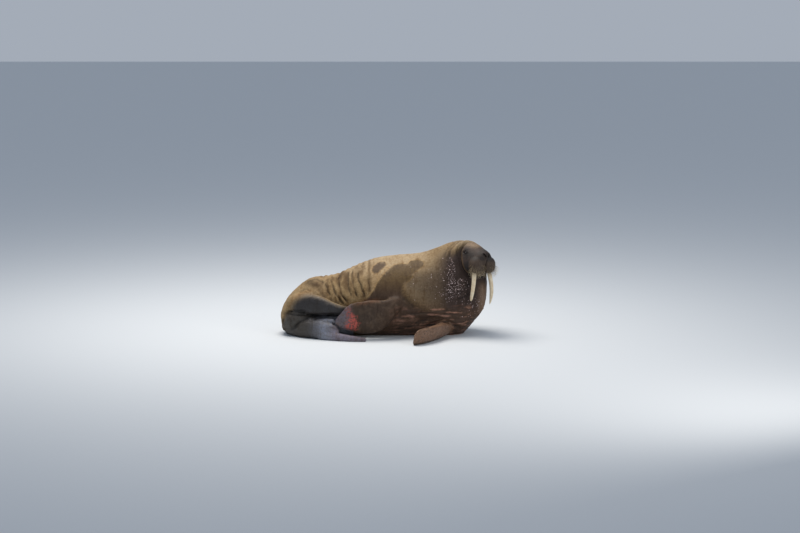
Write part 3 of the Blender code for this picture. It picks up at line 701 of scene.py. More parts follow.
# Brown stains: middle across and down, half width and half height
STAINS = ((338.5, 281.0, 2.6, 5.0), (346.3, 283.0, 4.3, 9.0), (361.0, 272.0, 3.0, 3.5))

GOLD = (0.340, 0.245, 0.135)
TOP_LIGHT_GOLD = (0.400, 0.315, 0.205)
RUMP = (0.330, 0.240, 0.130)
RUMP_FOLD_SHADE = (0.063, 0.035, 0.013)
LOIN = (0.250, 0.175, 0.085)
DAMP = (0.118, 0.074, 0.026)
LOW_BROWN = (0.072, 0.042, 0.025)
FLANK = (0.155, 0.113, 0.070)
CHEST = (0.105, 0.074, 0.048)
NECK_DARK = (0.034, 0.022, 0.021)
CHEST_EDGE = (0.300, 0.205, 0.145)
STAIN_AND_SHADE = (0.110, 0.065, 0.026)
RUST = (0.170, 0.080, 0.040)
BELLY_RIDGE = (0.360, 0.200, 0.150)
BELLY_FOLD_SHADE = (0.085, 0.052, 0.042)
CHEEK_EDGE = (0.150, 0.095, 0.050)
FACE_BROWN = (0.052, 0.034, 0.028)
HOOD = (0.300, 0.240, 0.165)
CROWN = (0.205, 0.150, 0.100)
FACE = (0.024, 0.019, 0.018)
FACE_SIDE = (0.054, 0.038, 0.034)
PAD = (0.068, 0.048, 0.036)
ROUND_EYE = (0.008, 0.005, 0.005)
BLUE_GREY = (0.036, 0.034, 0.037)
LOW_GREY = (0.225, 0.245, 0.310)
DIGIT_GREY = (0.190, 0.172, 0.225)
TAIL_GREY = (0.066, 0.060, 0.054)
FLIPPER_DARK = (0.056, 0.037, 0.026)
FLIPPER_BROWN = (0.215, 0.130, 0.086)
PINK = (0.240, 0.150, 0.155)
RED = (0.420, 0.085, 0.065)
RIDGE_HIGHLIGHT = (0.220, 0.190, 0.160)
STREAK = (0.260, 0.150, 0.060)
SHOULDER = (0.200, 0.135, 0.062)
FLIPPER_GLINT = (0.160, 0.110, 0.075)
WART = (0.40, 0.28, 0.26)
SPECK = (0.62, 0.50, 0.49)
CREASE_SHADE = (0.07, 0.05, 0.04)
IVORY_DARK = (0.66, 0.53, 0.35)
IVORY_PALE = (0.74, 0.64, 0.47)
IVORY_CRACK = (0.33, 0.24, 0.14)
BRISTLE_ROOT = (0.075, 0.050, 0.028)
BRISTLE_TIP = (0.52, 0.42, 0.26)
WRINKLE_STRETCH = (1.0, 0.35, 0.35)


def near_node(points, name, margin=0.012):
    """1 on the skin over a node and 0 away from it, by the distance to the node's own surface."""
    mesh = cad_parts[name].data
    corners = [v.co for v in mesh.vertices]
    tree = BVHTree.FromPolygons(corners, [tuple(f.vertices) for f in mesh.polygons])
    low, high = (np.array(c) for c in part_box(name))
    found = np.zeros(len(points))
    for i in np.flatnonzero(((points > low - 0.03) & (points < high + 0.03)).all(1)):
        found[i] = 1 - min(1, max(0, (tree.find_nearest(points[i])[3] - margin) / 0.02))
    return found


class Coat:
    """The hide's colours so far, and the fields that place them, one value for each vertex."""

    def __init__(self, mesh):
        self.points = vertex_places(mesh)
        self.normals = vertex_normals(mesh)
        self.flat = side_view(self.points)
        self.near_side = step(-self.normals[:, 1], -0.35, 0.15)
        self.colours = np.tile(np.array(GOLD), (len(self.points), 1))

    def lay(self, colour, share):
        """Lays a colour over those so far, as strongly as share says at each vertex."""
        share = np.clip(share, 0, 1)[:, None]
        self.colours = self.colours * (1 - share) + np.array(colour) * share


def paint_back(coat):
    """Gold back, paler on top as painted light, darker rump with a painted shade under its fold, loins
    with brown stains and painted shade along their folds, and the plainer far side, painted darker
    towards the floor.
    """
    points, near_side = coat.points, coat.near_side
    x, y = coat.flat.T
    high = points[:, 2]
    # Painted light: the top of the back paler, as if lit from above
    coat.lay(TOP_LIGHT_GOLD, step(high, 0.62, 0.86) * 0.8)
    coat.lay(RUMP, step(318 - x, 0, 14) * 0.8)
    loins = step(x, 322, 332) * (1 - step(x, 362, 374)) * step(y, 272, 282) * near_side
    coat.lay(LOIN, loins * 0.75)
    # Painted shade: a dark oval on the hip under the rump's fold
    hip_shade = np.exp(-(((x - 315.0) / 9.5) ** 2) - ((y - 284.6 - 0.20 * (x - 315.0)) / 4.0) ** 2) * near_side
    coat.lay(RUMP_FOLD_SHADE, hip_shade)
    streak, _ = line_distance(coat.flat, RUMP_STREAK)
    coat.lay(STREAK, swell(streak, 1.9) * near_side * 0.6)
    # Brown bands across the loins: partly stains, partly painted shade of the fold valleys
    fold_zone = step(x, 312, 326) * (1 - step(x, 366, 380)) * (1 - step(y, 300, 308))
    clouds = wander(points, 0.034, 5, (1, 5, 5)) + 0.5 * wander(points, 0.10, 6, (1, 2, 2))
    coat.lay(STAIN_AND_SHADE, fold_zone * step(clouds, -0.05, 0.55) * (0.35 + 0.50 * near_side))
    for middle_x, middle_y, wide, tall in STAINS:
        patch = np.exp(-(((x - middle_x) / wide) ** 2) - ((y - middle_y) / tall) ** 2) * near_side
        coat.lay(STAIN_AND_SHADE, step(patch + 0.25 * wander(points, 0.03, 13), 0.25, 0.75) * 0.75)
    # The far side gets darker towards the floor: painted shade of the underside
    far = 1 - near_side
    coat.lay(FLANK, far * (1 - step(high, 0.30, 0.55)) * 0.9)
    coat.lay(LOW_BROWN, far * (1 - step(high, 0.08, 0.30)))


def paint_chest(coat):
    """Flank, chest and neck, each darker than the one before, and a painted shadow of the hood on the
    neck behind the head.
    """
    near_side = coat.near_side
    x, y = coat.flat.T
    coat.lay(FLANK, near_side * step(x, 398, 408) * step(y, 264, 278))
    coat.lay(SHOULDER, step(x, 412, 436) * (1 - step(y, 262, 274)) * near_side * 0.7)
    coat.lay(CHEST, step(x, 414, 438) * step(y, 256, 280))
    coat.lay(CHEST, step(x, 426, 446) * step(y, 246, 266) * 0.85)
    neck = step(x, 434, 451) * step(y, 246, 260) * (1 - 0.35 * step(y, 305, 325))
    coat.lay(NECK_DARK, neck * 0.92)
    # Painted shadow: the hood's shadow on the neck just behind the head
    hood_shadow = step(x - 447 - 0.70 * (262 - y), 0, 6) * step(y, 244.0, 248.5) * (1 - step(y, 262, 270))
    coat.lay(NECK_DARK, hood_shadow * near_side * 0.88)
    coat.lay(CHEST_EDGE, step(x, 474, 484) * step(y, 278, 290) * 0.6)


def paint_wet_side(coat):
    """The wet lower side and the folded belly. Gives how far inside the wet part each place is."""
    near_side = coat.near_side
    x, y = coat.flat.T
    wet = np.maximum(inside_distance(coat.flat, WET), inside_distance(coat.flat, SPOT))
    wet = np.where(near_side > 0.5, wet, -3 - (1 - near_side) * 5)
    wet /= 1 + 9 * step(y, 283, 292) * step(x, 396, 404)
    soaked = step(wet, -0.4, 0.4)
    coat.lay(DAMP, soaked * (1 - step(x, 424, 436)))
    coat.lay(LOW_BROWN, soaked * (1 - step(x, 386, 390)) * (1 - step(y, 274, 278)) * 0.5)
    low_side = step(y, 274, 298) * near_side
    coat.lay(LOW_BROWN, low_side * step(wet, -0.5, 1) * step(x, 352, 372))
    coat.lay(LOW_BROWN, near_side * step(y, 306, 316) * step(x, 360, 380) * 0.7)
    # Folds of the belly: painted shade between reddish ridges
    belly = step(y, 303, 311) * step(x, 384, 402) * (1 - step(x, 466, 478)) * near_side
    ridges = wander(coat.points, 0.026, 2, (11, 2, 1)) + 0.35 * wander(coat.points, 0.05, 7)
    coat.lay(BELLY_RIDGE, belly * step(ridges, 0.02, 0.45) * 0.8)
    coat.lay(BELLY_FOLD_SHADE, belly * step(-ridges, 0.02, 0.40) * 0.5)
    return wet


def paint_hind_limbs(coat):
    """Blue-grey hind limbs and tail, with a painted highlight along the upper limb's edge. Gives how bare
    the skin is at each place.
    """
    points = coat.points
    x, y = coat.flat.T
    hind = ("hind_flipper_right", "hind_flipper_left", "tail")
    bare = np.maximum.reduce([near_node(points, name, 0.030) for name in hind])
    soft = 1.2 + 3.2 * (1 - step(x, 306, 330))
    limb = step(inside_distance(coat.flat, HIND_LIMB) / soft, -1.0, 1.0)
    turned = step(-points[:, 1] - SHIFT[1], 0.06, 0.16)
    bare = (turned * limb + (1 - turned) * bare) * (1 - step(x, 345, 370))
    gold_strip = step(287 - x, 0, 3) * step(x, 270, 272) * turned
    bare *= 1 - gold_strip * step(323 - y, 0, 6)
    coat.lay(BLUE_GREY, bare)
    # Painted highlight along the upper hind limb's edge
    highlight_away, _ = line_distance(coat.flat, LIMB_HIGHLIGHT_LINE)
    coat.lay(RIDGE_HIGHLIGHT, swell(highlight_away, 1.0) * limb * coat.near_side * 0.55)
    lower = near_node(points, "hind_flipper_left")
    low_limb = np.maximum(limb * turned, lower)
    coat.lay(LOW_GREY, low_limb * step(x, 298, 330) * step(y, 313, 321))
    coat.lay(DIGIT_GREY, lower * step(x, 326, 338) * step(y, 322, 328))
    coat.lay(TAIL_GREY, bare * (1 - step(x, 298, 328)) * step(y, 310, 315))
    return bare


def paint_fore_flippers(coat, bare):
    """Brown fore flippers with a grey end, a rusty edge, painted glints on the right one and painted
    shade along the left one's lowest edge. Gives the bare skin and the sore.
    """
    points = coat.points
    x, y = coat.flat.T
    right = near_node(points, "fore_flipper_right")
    grey_end = step(356 - x, 0, 10) * right
    coat.lay(FLIPPER_DARK, right * (0.25 + 0.65 * (1 - step(x, 364, 392))))
    coat.lay(DIGIT_GREY, grey_end * 0.6)
    sore = step(inside_distance(coat.flat, SORE), -1.0, 1.2) * right
    pink = np.exp(-(((x - 348.5) / 2.6) ** 2) - ((y - 308.0) / 3.2) ** 2) * right
    coat.lay(PINK, pink * 0.9)
    rust, _ = line_distance(coat.flat, RUSTY_EDGE)
    coat.lay(RUST, swell(rust, 1.6) * coat.near_side * 0.8)
    left = near_node(points, "fore_flipper_left") * step(y, 319, 322)
    coat.lay(FLIPPER_BROWN, left)
    mottle = step(wander(points, 0.020, 14, (1.4, 3, 1)), -0.05, 0.45)
    coat.lay(FLIPPER_DARK, mottle * (left * 0.35 + 0.3 * right))
    # Painted glints: light golden highlights on the right fore flipper
    glints = step(-wander(points, 0.024, 15, (1, 2, 1)), 0.0, 0.45)
    coat.lay(FLIPPER_GLINT, glints * right * 0.45)
    # Painted shade along the left flipper's lowest edge, next to the floor
    coat.lay(FLIPPER_DARK, left * (1 - step(points[:, 2], 0.010, 0.035)) * 0.85)
    return np.maximum(bare, np.maximum(left, grey_end)), sore


def paint_head(coat):
    """Tan crown and hood, grey face, darker round the eyes, brown pads. Gives where the head is."""
    local = head_places(coat.points)
    forward, left, up = local.T
    away = hood_distance(local)
    from_middle = np.hypot(left, up + 0.07)
    on_it = step(away, -0.006, 0.010)
    on_it *= (1 - step(from_middle, 0.24, 0.30)) * step(up, -0.31, -0.27)
    coat.lay(FACE_SIDE, on_it)
    coat.lay(FACE, on_it * step(forward, -0.02, 0.06))
    clouds = step(wander(coat.points, 0.045, 12), -0.15, 0.5)
    coat.lay(FACE_BROWN, on_it * clouds * 0.6)
    coat.lay(FACE_BROWN, on_it * step(up, -0.01, 0.04) * (1 - step(forward, 0.14, 0.20)) * 0.8)
    coat.lay(CROWN, on_it * step(up, 0.036, 0.085) * (1 - step(forward, 0.06, 0.14)))
    coat.lay(PAD, on_it * step(forward, 0.08, 0.16) * (1 - step(up, -0.09, -0.04)))
    cheek_edge = (1 - step(away, 0.012, 0.055)) * step(away, -0.004, 0.008)
    coat.lay(CHEEK_EDGE, on_it * cheek_edge * step(abs(left), 0.08, 0.12) * 0.8)
    for side in (-1, 1):
        round_eye = swell(np.hypot(forward, up), 0.045) * (side * left > 0.06)
        coat.lay(ROUND_EYE, on_it * round_eye * 0.9)
    hood = (1 - step(away, -0.012, 0.0)) * step(away, -0.20, -0.10) * step(up, 0.03, 0.10)
    coat.lay(HOOD, hood * 0.85 * (1 - step(from_middle, 0.26, 0.34)))
    return on_it


def paint(mesh):
    """The colours of the hide and the masks that its material reads, one value for each vertex."""
    coat = Coat(mesh)
    paint_back(coat)
    paint_chest(coat)
    wet = paint_wet_side(coat)
    bare = paint_hind_limbs(coat)
    bare, sore = paint_fore_flippers(coat, bare)
    on_it = paint_head(coat)
    _, dark = crease_fields(coat.points, coat.normals)
    _, face_dark = face_fields(coat.points)
    opaque = np.ones((len(coat.points), 1))
    layer = mesh.color_attributes.new("hide_colour", "FLOAT_COLOR", "POINT")
    layer.data.foreach_set("color", np.hstack([coat.colours, opaque]).astype(np.float32).ravel())
    masks = {
        "wet": wet * GRID * (1 - bare) - 0.05 * np.maximum(bare, on_it),
        # crease: painted shade of the creases and of the face's hollows
        "crease": np.clip(dark + face_dark, 0, 1),
        "knob": warts(coat.points) / 0.010,
        "speck": speck_density(coat.points),
        "bare": np.maximum(bare, on_it * 0.6),
        "sore": sore,
    }
    for name, values in masks.items():
        layer = mesh.attributes.new(name, "FLOAT", "POINT")
        layer.data.foreach_set("value", np.asarray(values, np.float32))


class Wires:
    """Adds nodes to a material, each linked to what it is given."""

    def __init__(self, look):
        self.nodes = look.node_tree.nodes
        self.links = look.node_tree.links
        self.coords = self.nodes.new("ShaderNodeTexCoord").outputs["Object"]

    def put(self, given, slot):
        if hasattr(given, "is_output"):
            self.links.new(given, slot)
        else:
            slot.default_value = (*given, 1) if isinstance(given, tuple) else given

    def noise(self, scale, detail, rough):
        made = self.nodes.new("ShaderNodeTexNoise")
        made.inputs["Scale"].default_value = scale
        made.inputs["Detail"].default_value = detail
        made.inputs["Roughness"].default_value = rough
        self.links.new(self.coords, made.inputs["Vector"])
        return made.outputs["Fac"]

    def streaks(self, stretch, scale, detail, rough):
        """Noise drawn out by the shared node group."""
        made = self.nodes.new("ShaderNodeGroup")
        made.node_tree = DRAWN_OUT
        made.inputs["Stretch"].default_value = stretch
        for name, value in (("Scale", scale), ("Detail", detail), ("Roughness", rough)):
            made.inputs[name].default_value = value
        self.links.new(self.coords, made.inputs["Place"])
        return made.outputs["Streaks"]

    def ramp(self, value, low, high, to_low=0.0, to_high=1.0):
        made = self.nodes.new("ShaderNodeMapRange")
        made.interpolation_type = "SMOOTHSTEP"
        ends = zip(("From Min", "From Max", "To Min", "To Max"), (low, high, to_low, to_high))
        for slot, number in ends:
            made.inputs[slot].default_value = number
        self.links.new(value, made.inputs["Value"])
        return made.outputs["Result"]

    def mix(self, share, first, second, mode="MIX"):
        made = self.nodes.new("ShaderNodeMix")
        made.data_type = "RGBA"
        made.blend_type = mode
        for slot, given in ((0, share), (6, first), (7, second)):
            self.put(given, made.inputs[slot])
        return made.outputs[2]

    def tint(self, share, colour, by):
        return self.mix(share, colour, by, "MULTIPLY")

    def maths(self, operation, *given):
        made = self.nodes.new("ShaderNodeMath")
        made.operation = operation
        for slot, value in zip(made.inputs, given):
            self.put(value, slot)
        return made.outputs[0]

    def attribute(self, name, output="Fac"):
        made = self.nodes.new("ShaderNodeAttribute")
        made.attribute_name = name
        return made.outputs[output]

    def bump(self, height, strength, distance, shader):
        made = self.nodes.new("ShaderNodeBump")
        made.inputs["Strength"].default_value = strength
        made.inputs["Distance"].default_value = distance
        self.links.new(height, made.inputs["Height"])
        self.links.new(made.outputs["Normal"], shader.inputs["Normal"])


def drawn_out_noise():
    """Noise drawn out one way: the hide's streaks and wrinkles, and the ivory's cracks."""
    group = bpy.data.node_groups.new("drawn_out_noise", "ShaderNodeTree")
    for name in ("Place", "Stretch"):
        group.interface.new_socket(name, in_out="INPUT", socket_type="NodeSocketVector")
    for name in ("Scale", "Detail", "Roughness"):
        group.interface.new_socket(name, in_out="INPUT", socket_type="NodeSocketFloat")
    group.interface.new_socket("Streaks", in_out="OUTPUT", socket_type="NodeSocketFloat")
    given = group.nodes.new("NodeGroupInput")
    result = group.nodes.new("NodeGroupOutput")
    mapping = group.nodes.new("ShaderNodeMapping")
    made = group.nodes.new("ShaderNodeTexNoise")
    group.links.new(given.outputs["Place"], mapping.inputs["Vector"])
    group.links.new(given.outputs["Stretch"], mapping.inputs["Scale"])
    group.links.new(mapping.outputs["Vector"], made.inputs["Vector"])
    for name in ("Scale", "Detail", "Roughness"):
        group.links.new(given.outputs[name], made.inputs[name])
    group.links.new(made.outputs["Fac"], result.inputs["Streaks"])
    return group


DRAWN_OUT = drawn_out_noise()


def hide_material():
    """Hide of the whole body: painted zones, mottling, wet darkening, painted shade in the creases, warts
    and a leathery grain.
    """
    look, shader = material("walrus_hide")
    wires = Wires(look)
    nodes, links = wires.nodes, wires.links
    broad = wires.noise(9, 4, 0.6)
    middle = wires.noise(45, 4, 0.65)
    fine = wires.noise(220, 3, 0.6)
    # Mottling, from hand-sized clouds to grains
    colour = wires.attribute("hide_colour", "Color")
    colour = wires.tint(wires.ramp(broad, 0.35, 0.65, 0.0, 0.35), colour, (0.66, 0.56, 0.42))
    colour = wires.tint(wires.ramp(middle, 0.40, 0.62, 0.0, 0.50), colour, (0.58, 0.50, 0.40))
    colour = wires.tint(wires.ramp(fine, 0.52, 0.70, 0.0, 0.35), colour, (1.5, 1.42, 1.3))
    streaks = wires.streaks((1.0, 0.22, 0.22), 30, 5, 0.65)
    colour = wires.tint(wires.ramp(streaks, 0.50, 0.66, 0.0, 0.55), colour, (0.58, 0.46, 0.32))
    # The wet part has a sharp, slightly ragged edge with a paler dry rim
    ragged = wires.maths("MULTIPLY_ADD", middle, 0.020, -0.010)
    edge = wires.maths("ADD", wires.attribute("wet"), ragged)
    soaked = wires.ramp(edge, -0.004, 0.006)
    dry = wires.maths("SUBTRACT", 1.0, soaked)
    rim = wires.maths("MULTIPLY", wires.ramp(edge, -0.022, -0.004), dry)
    colour = wires.tint(wires.maths("MULTIPLY", rim, 0.6), colour, (1.35, 1.28, 1.15))
    colour = wires.tint(wires.maths("MULTIPLY", soaked, 0.25), colour, (0.50, 0.42, 0.34))
    # Warts are pale and pinkish on top
    pale = wires.ramp(wires.attribute("knob"), 0.45, 0.95, 0.0, 0.75)
    colour = wires.mix(pale, colour, WART)
    # Small pale knobs, thickest on the neck
    dots = nodes.new("ShaderNodeTexVoronoi")
    dots.inputs["Scale"].default_value = 68
    links.new(wires.coords, dots.inputs["Vector"])
    lot = nodes.new("ShaderNodeSeparateColor")
    links.new(dots.outputs["Color"], lot.inputs["Color"])
    chosen = wires.maths("LESS_THAN", lot.outputs["Red"], wires.attribute("speck"))
    reach = wires.maths("MULTIPLY_ADD", lot.outputs["Green"], 0.20, 0.22)
    inside = wires.maths("SUBTRACT", reach, dots.outputs["Distance"])
    speck = wires.maths("MULTIPLY", chosen, wires.ramp(inside, 0.0, 0.07))
    bright = wires.maths("MULTIPLY", speck, wires.ramp(lot.outputs["Blue"], 0.0, 1.0, 0.35, 1.0))
    colour = wires.mix(bright, colour, SPECK)
    # The sore: raw red, broken up by darker skin
    raw = wires.maths("MULTIPLY", wires.attribute("sore"), wires.ramp(middle, 0.42, 0.54))
    colour = wires.mix(raw, colour, RED)
    # Painted shade: the creases and hollows of the skin darkened
    shade = wires.maths("MULTIPLY", wires.attribute("crease"), 0.95)
    colour = wires.tint(shade, colour, CREASE_SHADE)
    links.new(colour, shader.inputs["Base Color"])
    rough = wires.mix(soaked, (0.78, 0.78, 0.78), (0.55, 0.55, 0.55))
    rough = wires.mix(wires.attribute("bare"), rough, (0.42, 0.42, 0.42))
    grey = nodes.new("ShaderNodeRGBToBW")
    links.new(rough, grey.inputs["Color"])
    links.new(grey.outputs["Val"], shader.inputs["Roughness"])
    shader.inputs["Specular IOR Level"].default_value = 0.28
    # Grain: fine wrinkles that run round the body, and a net of cracks
    lines = wires.streaks(WRINKLE_STRETCH, 120, 5, 0.6)
    stretched = nodes.new("ShaderNodeMapping")
    stretched.inputs["Scale"].default_value = WRINKLE_STRETCH
    links.new(wires.coords, stretched.inputs["Vector"])
    cells = nodes.new("ShaderNodeTexVoronoi")
    cells.feature = "DISTANCE_TO_EDGE"
    cells.inputs["Scale"].default_value = 90
    links.new(stretched.outputs["Vector"], cells.inputs["Vector"])
    cracks = wires.ramp(cells.outputs["Distance"], 0.0, 0.16)
    grain = wires.maths("MULTIPLY_ADD", lines, 0.7, wires.maths("MULTIPLY", fine, 0.3))
    grain = wires.maths("MULTIPLY_ADD", cracks, 0.35, grain)
    grain = wires.maths("MULTIPLY_ADD", speck, 0.5, grain)
    wires.bump(grain, 0.55, 0.006, shader)
    return look


def eye_material():
    look, shader = material("wet_eye_glass")
    shader.inputs["Base Color"].default_value = (0.018, 0.009, 0.007, 1)
    shader.inputs["Roughness"].default_value = 0.06
    shader.inputs["Coat Weight"].default_value = 1.0
    shader.inputs["Coat Roughness"].default_value = 0.03
    return look


def make_eye(name, side, look):
    """A wet dark ball."""
    bpy.ops.object.select_all(action="DESELECT")
    bpy.ops.mesh.primitive_uv_sphere_add(segments=40, ring_count=24, radius=EYE_RADIUS)
    eye = bpy.context.object
    eye.name = name
    eye.data.name = name
    centre = on_head(0, side * EYE_OUT, 0)
    eye.data.transform(Matrix.Translation(centre))
    eye.location = (0, 0, 0)
    eye.data.materials.append(look)
    bpy.ops.object.shade_smooth()
    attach(eye, "root")
    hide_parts(name)
    return eye


def tube(name, path, radii, flat, sides, look, across):
    """A tapering rod along a path, closed at both ends; flat narrows it across one way."""
    path = np.array(path, float)
    along = np.gradient(path, axis=0)
    along /= np.linalg.norm(along, axis=1)[:, None]
    side = np.cross(along, across)
    side /= np.linalg.norm(side, axis=1)[:, None]
    rise = np.cross(side, along)
    turn = np.linspace(0, 2 * math.pi, sides, endpoint=False)
    points, faces = [path[0]], []
    for i in range(1, len(path) - 1):
        for t in turn:
            points.append(path[i] + radii[i] * (math.cos(t) * side[i] * flat + math.sin(t) * rise[i]))
    points.append(path[-1])
    rings = len(path) - 2
    for j in range(sides):
        after = (j + 1) % sides
        faces.append((0, 1 + after, 1 + j))
        for i in range(rings - 1):
            low, high = 1 + i * sides, 1 + (i + 1) * sides
            faces.append((low + j, low + after, high + after, high + j))
        end = 1 + (rings - 1) * sides
        faces.append((len(points) - 1, end + j, end + after))
    mesh = bpy.data.meshes.new(name)
    mesh.from_pydata([tuple(p) for p in points], [], faces)
    shape = bmesh.new()
    shape.from_mesh(mesh)
    bmesh.ops.recalc_face_normals(shape, faces=shape.faces)
    if shape.calc_volume(signed=True) < 0:
        bmesh.ops.reverse_faces(shape, faces=shape.faces)
    shape.to_mesh(mesh)
    shape.free()
    return shown_object(name, mesh, [look])


def ivory_material():
    """Cream ivory, cloudy, with brown cracks along its length."""
    look, shader = material("tusk_ivory")
    wires = Wires(look)
    streaks = wires.streaks((1.0, 1.0, 0.08), 160, 4, 0.6)
    cloudy = wires.noise(22, 3, 0.5)
    colour = wires.mix(wires.ramp(cloudy, 0.35, 0.65), IVORY_DARK, IVORY_PALE)
    colour = wires.mix(wires.ramp(streaks, 0.56, 0.72, 0.0, 0.55), colour, IVORY_CRACK)
    wires.links.new(colour, shader.inputs["Base Color"])
    shader.inputs["Roughness"].default_value = 0.38
    wires.bump(streaks, 0.3, 0.002, shader)
    return look


def make_tusk(name, side, shown, splay, bow, tip_size, look):
    """A tusk, finer than its solid: oval, gently curved, with a worn rounded tip."""
    path, radii = [], []
    for k in range(45):
        t = k / 42
        down = 0.167 + (shown + 0.045) * t
        ahead = 0.155 + 0.030 * math.sin(math.pi * t * 0.85) - 0.020 * t
        out = side * (TUSK_OUT + splay * t + bow * math.sin(math.pi * t * 0.62))
        size = (0.0305 - 0.0095 * t) * (1 - float(step(np.array(t), 0.72, 1.12)) * (1 - tip_size))
        path.append(on_head(ahead, out, -down))
        radii.append(size * math.sqrt(max(0.02, 1 - max(0, (t - 0.955) / 0.095) ** 2)))
    tusk = tube(name, path, radii, 0.80, 32, look, TURN[:, 0])
    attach(tusk, "root")
    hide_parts(name)
    return tusk


def whisker_roots(side, count):
    """Roots, outward ways, lean and length of the bristles over a pad's front, side and lower edge."""
    chance = np.random.default_rng(70 + side)
    golden = math.pi * (3 - math.sqrt(5))
    for k in range(count):
        z = 1 - 2 * (k + 0.5) / count
        flat = math.sqrt(max(0, 1 - z * z))
        turn = golden * k + chance.uniform(-0.05, 0.05)
        way = np.array((flat * math.cos(turn), side * flat * math.sin(turn), z))
        low, front, outer = -way[2], way[0], side * way[1]
        if not (front > 0.0 and outer > -0.55 and -0.35 < low < 0.95):
            continue
        if chance.random() > 0.25 + 0.75 * float(step(np.array(low), -0.1, 0.6)):
            continue
        share = 0.35 + 0.65 * float(step(np.array(0.6 * low + 0.5 * outer), -0.3, 0.9))
        length = (0.026 + 0.040 * share) * chance.uniform(0.75, 1.12)
        lean = way + np.array((0.10, side * 0.20 * max(outer, 0), -0.70 - 0.6 * share))
        lean += chance.uniform(-0.12, 0.12, 3)
        yield pad_points(side, [way])[0], TURN @ way, TURN @ (lean / np.linalg.norm(lean)), length


def make_whiskers(name, side, look):
    """The moustache of one side: about 130 stiff straw-coloured bristles in one mesh."""
    points, faces, tips = [], [], []
    sides, rings = WHISKER_SIDES, WHISKER_RINGS
    for root, way, lean, length in whisker_roots(side, WHISKER_WAYS):
        cross = np.cross(lean, (0.3, 0.2, 0.9))
        cross /= np.linalg.norm(cross)
        other = np.cross(lean, cross)
        start = len(points)
        for i in range(rings):
            t = i / (rings - 1)
            centre = root - way * WHISKER_SINK + way * (WHISKER_SINK + 0.30 * length) * t
            centre = centre + lean * length * 0.80 * t**1.6
            radius = WHISKER_RADIUS * (1 - 0.75 * t)
            for j in range(sides):
                a = 2 * math.pi * j / sides
                points.append(centre + radius * (math.cos(a) * cross + math.sin(a) * other))
                tips.append(t)
        for i in range(rings - 1):
            for j in range(sides):
                after = (j + 1) % sides
                low, high = start + i * sides, start + (i + 1) * sides
                faces.append((low + j, low + after, high + after, high + j))
        faces.append(tuple(start + j for j in reversed(range(sides))))
        faces.append(tuple(start + (rings - 1) * sides + j for j in range(sides)))
    mesh = bpy.data.meshes.new(name)
    mesh.from_pydata([tuple(p) for p in points], [], faces)
    shape = bmesh.new()
    shape.from_mesh(mesh)
    bmesh.ops.recalc_face_normals(shape, faces=shape.faces)
    shape.to_mesh(mesh)
    shape.free()
    layer = mesh.attributes.new("tip", "FLOAT", "POINT")
    layer.data.foreach_set("value", np.array(tips, np.float32))
    made = shown_object(name, mesh, [look])
    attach(made, "root")
    print(name, "faces", len(mesh.polygons))
    return made


def whisker_material():
    look, shader = material("straw_bristle")
    wires = Wires(look)
    colour = wires.mix(wires.ramp(wires.attribute("tip"), 0.25, 0.9), BRISTLE_ROOT, BRISTLE_TIP)
    wires.links.new(colour, shader.inputs["Base Color"])
    shader.inputs["Roughness"].default_value = 0.5
    return look


def make_claws(name, node, places, way, look):
    """Small dark claws on the digits of a flipper: one curved tapering peg for each digit."""
    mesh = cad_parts[node].data
    tree = BVHTree.FromPolygons([v.co for v in mesh.vertices], [tuple(f.vertices) for f in mesh.polygons])
    made = []
    for place in places:
        root, out, _, _ = tree.find_nearest(Vector(np.array(place) - SHIFT))
        along = Vector(way)
        along = (along - out * along.dot(out)).normalized()
        path, radii = [], []
        for k in range(9):
            t = k / 8
            sunk = 0.003 - 0.008 * math.sin(math.pi * t * 0.8)
            path.append(root - out * sunk + along * (CLAW_LENGTH * t - 0.006))
            radii.append(CLAW_RADIUS * math.sqrt(max(0.0, 1 - t)) * min(1, 3 * t + 0.3))
        made.append(tube(name, path, radii, 0.75, 12, look, (0.11, 0.23, 0.97)))
    bpy.ops.object.select_all(action="DESELECT")
    for claw in made:
        claw.select_set(True)
    bpy.context.view_layer.objects.active = made[0]
    bpy.ops.object.join()
    claws = bpy.context.object
    claws.name = name
    claws.data.name = name
    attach(claws, "root")
    return claws


def claw_material():
    look, shader = material("dark_horn")
    shader.inputs["Base Color"].default_value = (0.030, 0.022, 0.018, 1)
    shader.inputs["Roughness"].default_value = 0.4
    return look


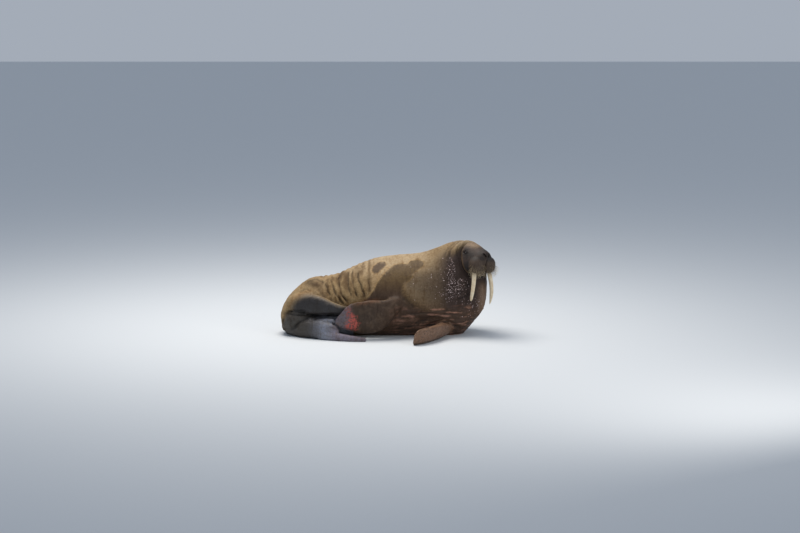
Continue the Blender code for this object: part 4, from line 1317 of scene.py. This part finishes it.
def floor_and_light():
    bpy.ops.object.select_all(action="DESELECT")
    bpy.ops.mesh.primitive_plane_add(size=60)
    floor = bpy.context.object
    floor.name = "floor"
    look, shader = material("pale_floor")
    shader.inputs["Base Color"].default_value = (0.62, 0.66, 0.70, 1)
    shader.inputs["Roughness"].default_value = 0.8
    floor.data.materials.append(look)
    world = bpy.data.worlds.new("soft_sky")
    world.use_nodes = True
    world.node_tree.nodes["Background"].inputs["Color"].default_value = (0.64, 0.71, 0.82, 1)
    world.node_tree.nodes["Background"].inputs["Strength"].default_value = 0.58
    bpy.context.scene.world = world
    lamps = (("high_lamp", (-1.2, 0.8, 6.5), 4.0, 470), ("side_lamp", (4.5, -5.0, 3.0), 3.0, 110))
    for name, place, size, power in lamps:
        lamp = bpy.data.lights.new(name, "AREA")
        lamp.color = (1.0, 0.93, 0.84)
        lamp.size = size
        lamp.energy = power
        holder = bpy.data.objects.new(name, lamp)
        bpy.context.scene.collection.objects.link(holder)
        holder.location = place
        holder.rotation_euler = (Vector((0, 0, 0.4)) - Vector(place)).to_track_quat("-Z", "Y").to_euler()


def place_camera():
    camera = bpy.data.objects.new("camera", bpy.data.cameras.new("camera"))
    bpy.context.scene.collection.objects.link(camera)
    across = (CAMERA_AIM[0] - GRID_MIDDLE[0]) * GRID
    height = (GRID_MIDDLE[1] - CAMERA_AIM[1]) * GRID / math.cos(LOOK_DOWN)
    aim = Vector((across, 0, height))
    aim -= Vector(SHIFT)
    back = Vector((0, -math.cos(LOOK_DOWN), math.sin(LOOK_DOWN)))
    camera.location = aim + back * CAMERA_AWAY
    camera.rotation_euler = (-back).to_track_quat("-Z", "Y").to_euler()
    camera.data.sensor_width = FILM_WIDTH
    camera.data.lens = FILM_WIDTH * CAMERA_AWAY / (PICTURE_WIDTH * GRID)
    camera.data.clip_end = 300
    bpy.context.scene.camera = camera


bpy.ops.object.select_all(action="DESELECT")
make_skin(hide_material())
eye_look = eye_material()
make_eye("eye_right", -1, eye_look)
make_eye("eye_left", 1, eye_look)
ivory = ivory_material()
make_tusk("tusk_right", -1, 0.315, -0.010, 0.018, 0.72, ivory)
make_tusk("tusk_left", 1, 0.360, 0.034, 0.042, 0.30, ivory)
straw = whisker_material()
make_whiskers("whiskers_right", -1, straw)
make_whiskers("whiskers_left", 1, straw)
horn = claw_material()
right_digits = [(-0.525 + 0.030 * k, -0.64, 0.120 + 0.062 * k) for k in range(CLAWS)]
make_claws("claws_right", "fore_flipper_right", right_digits, (-1, 0, 0.1), horn)
left_digits = [(0.372 + 0.030 * k, -0.90 + 0.018 * k, 0.05 + 0.036 * k) for k in range(CLAWS)]
make_claws("claws_left", "fore_flipper_left", left_digits, (-0.55, -0.80, -0.1), horn)
floor_and_light()
place_camera()
bpy.context.scene.view_settings.view_transform = "Standard"
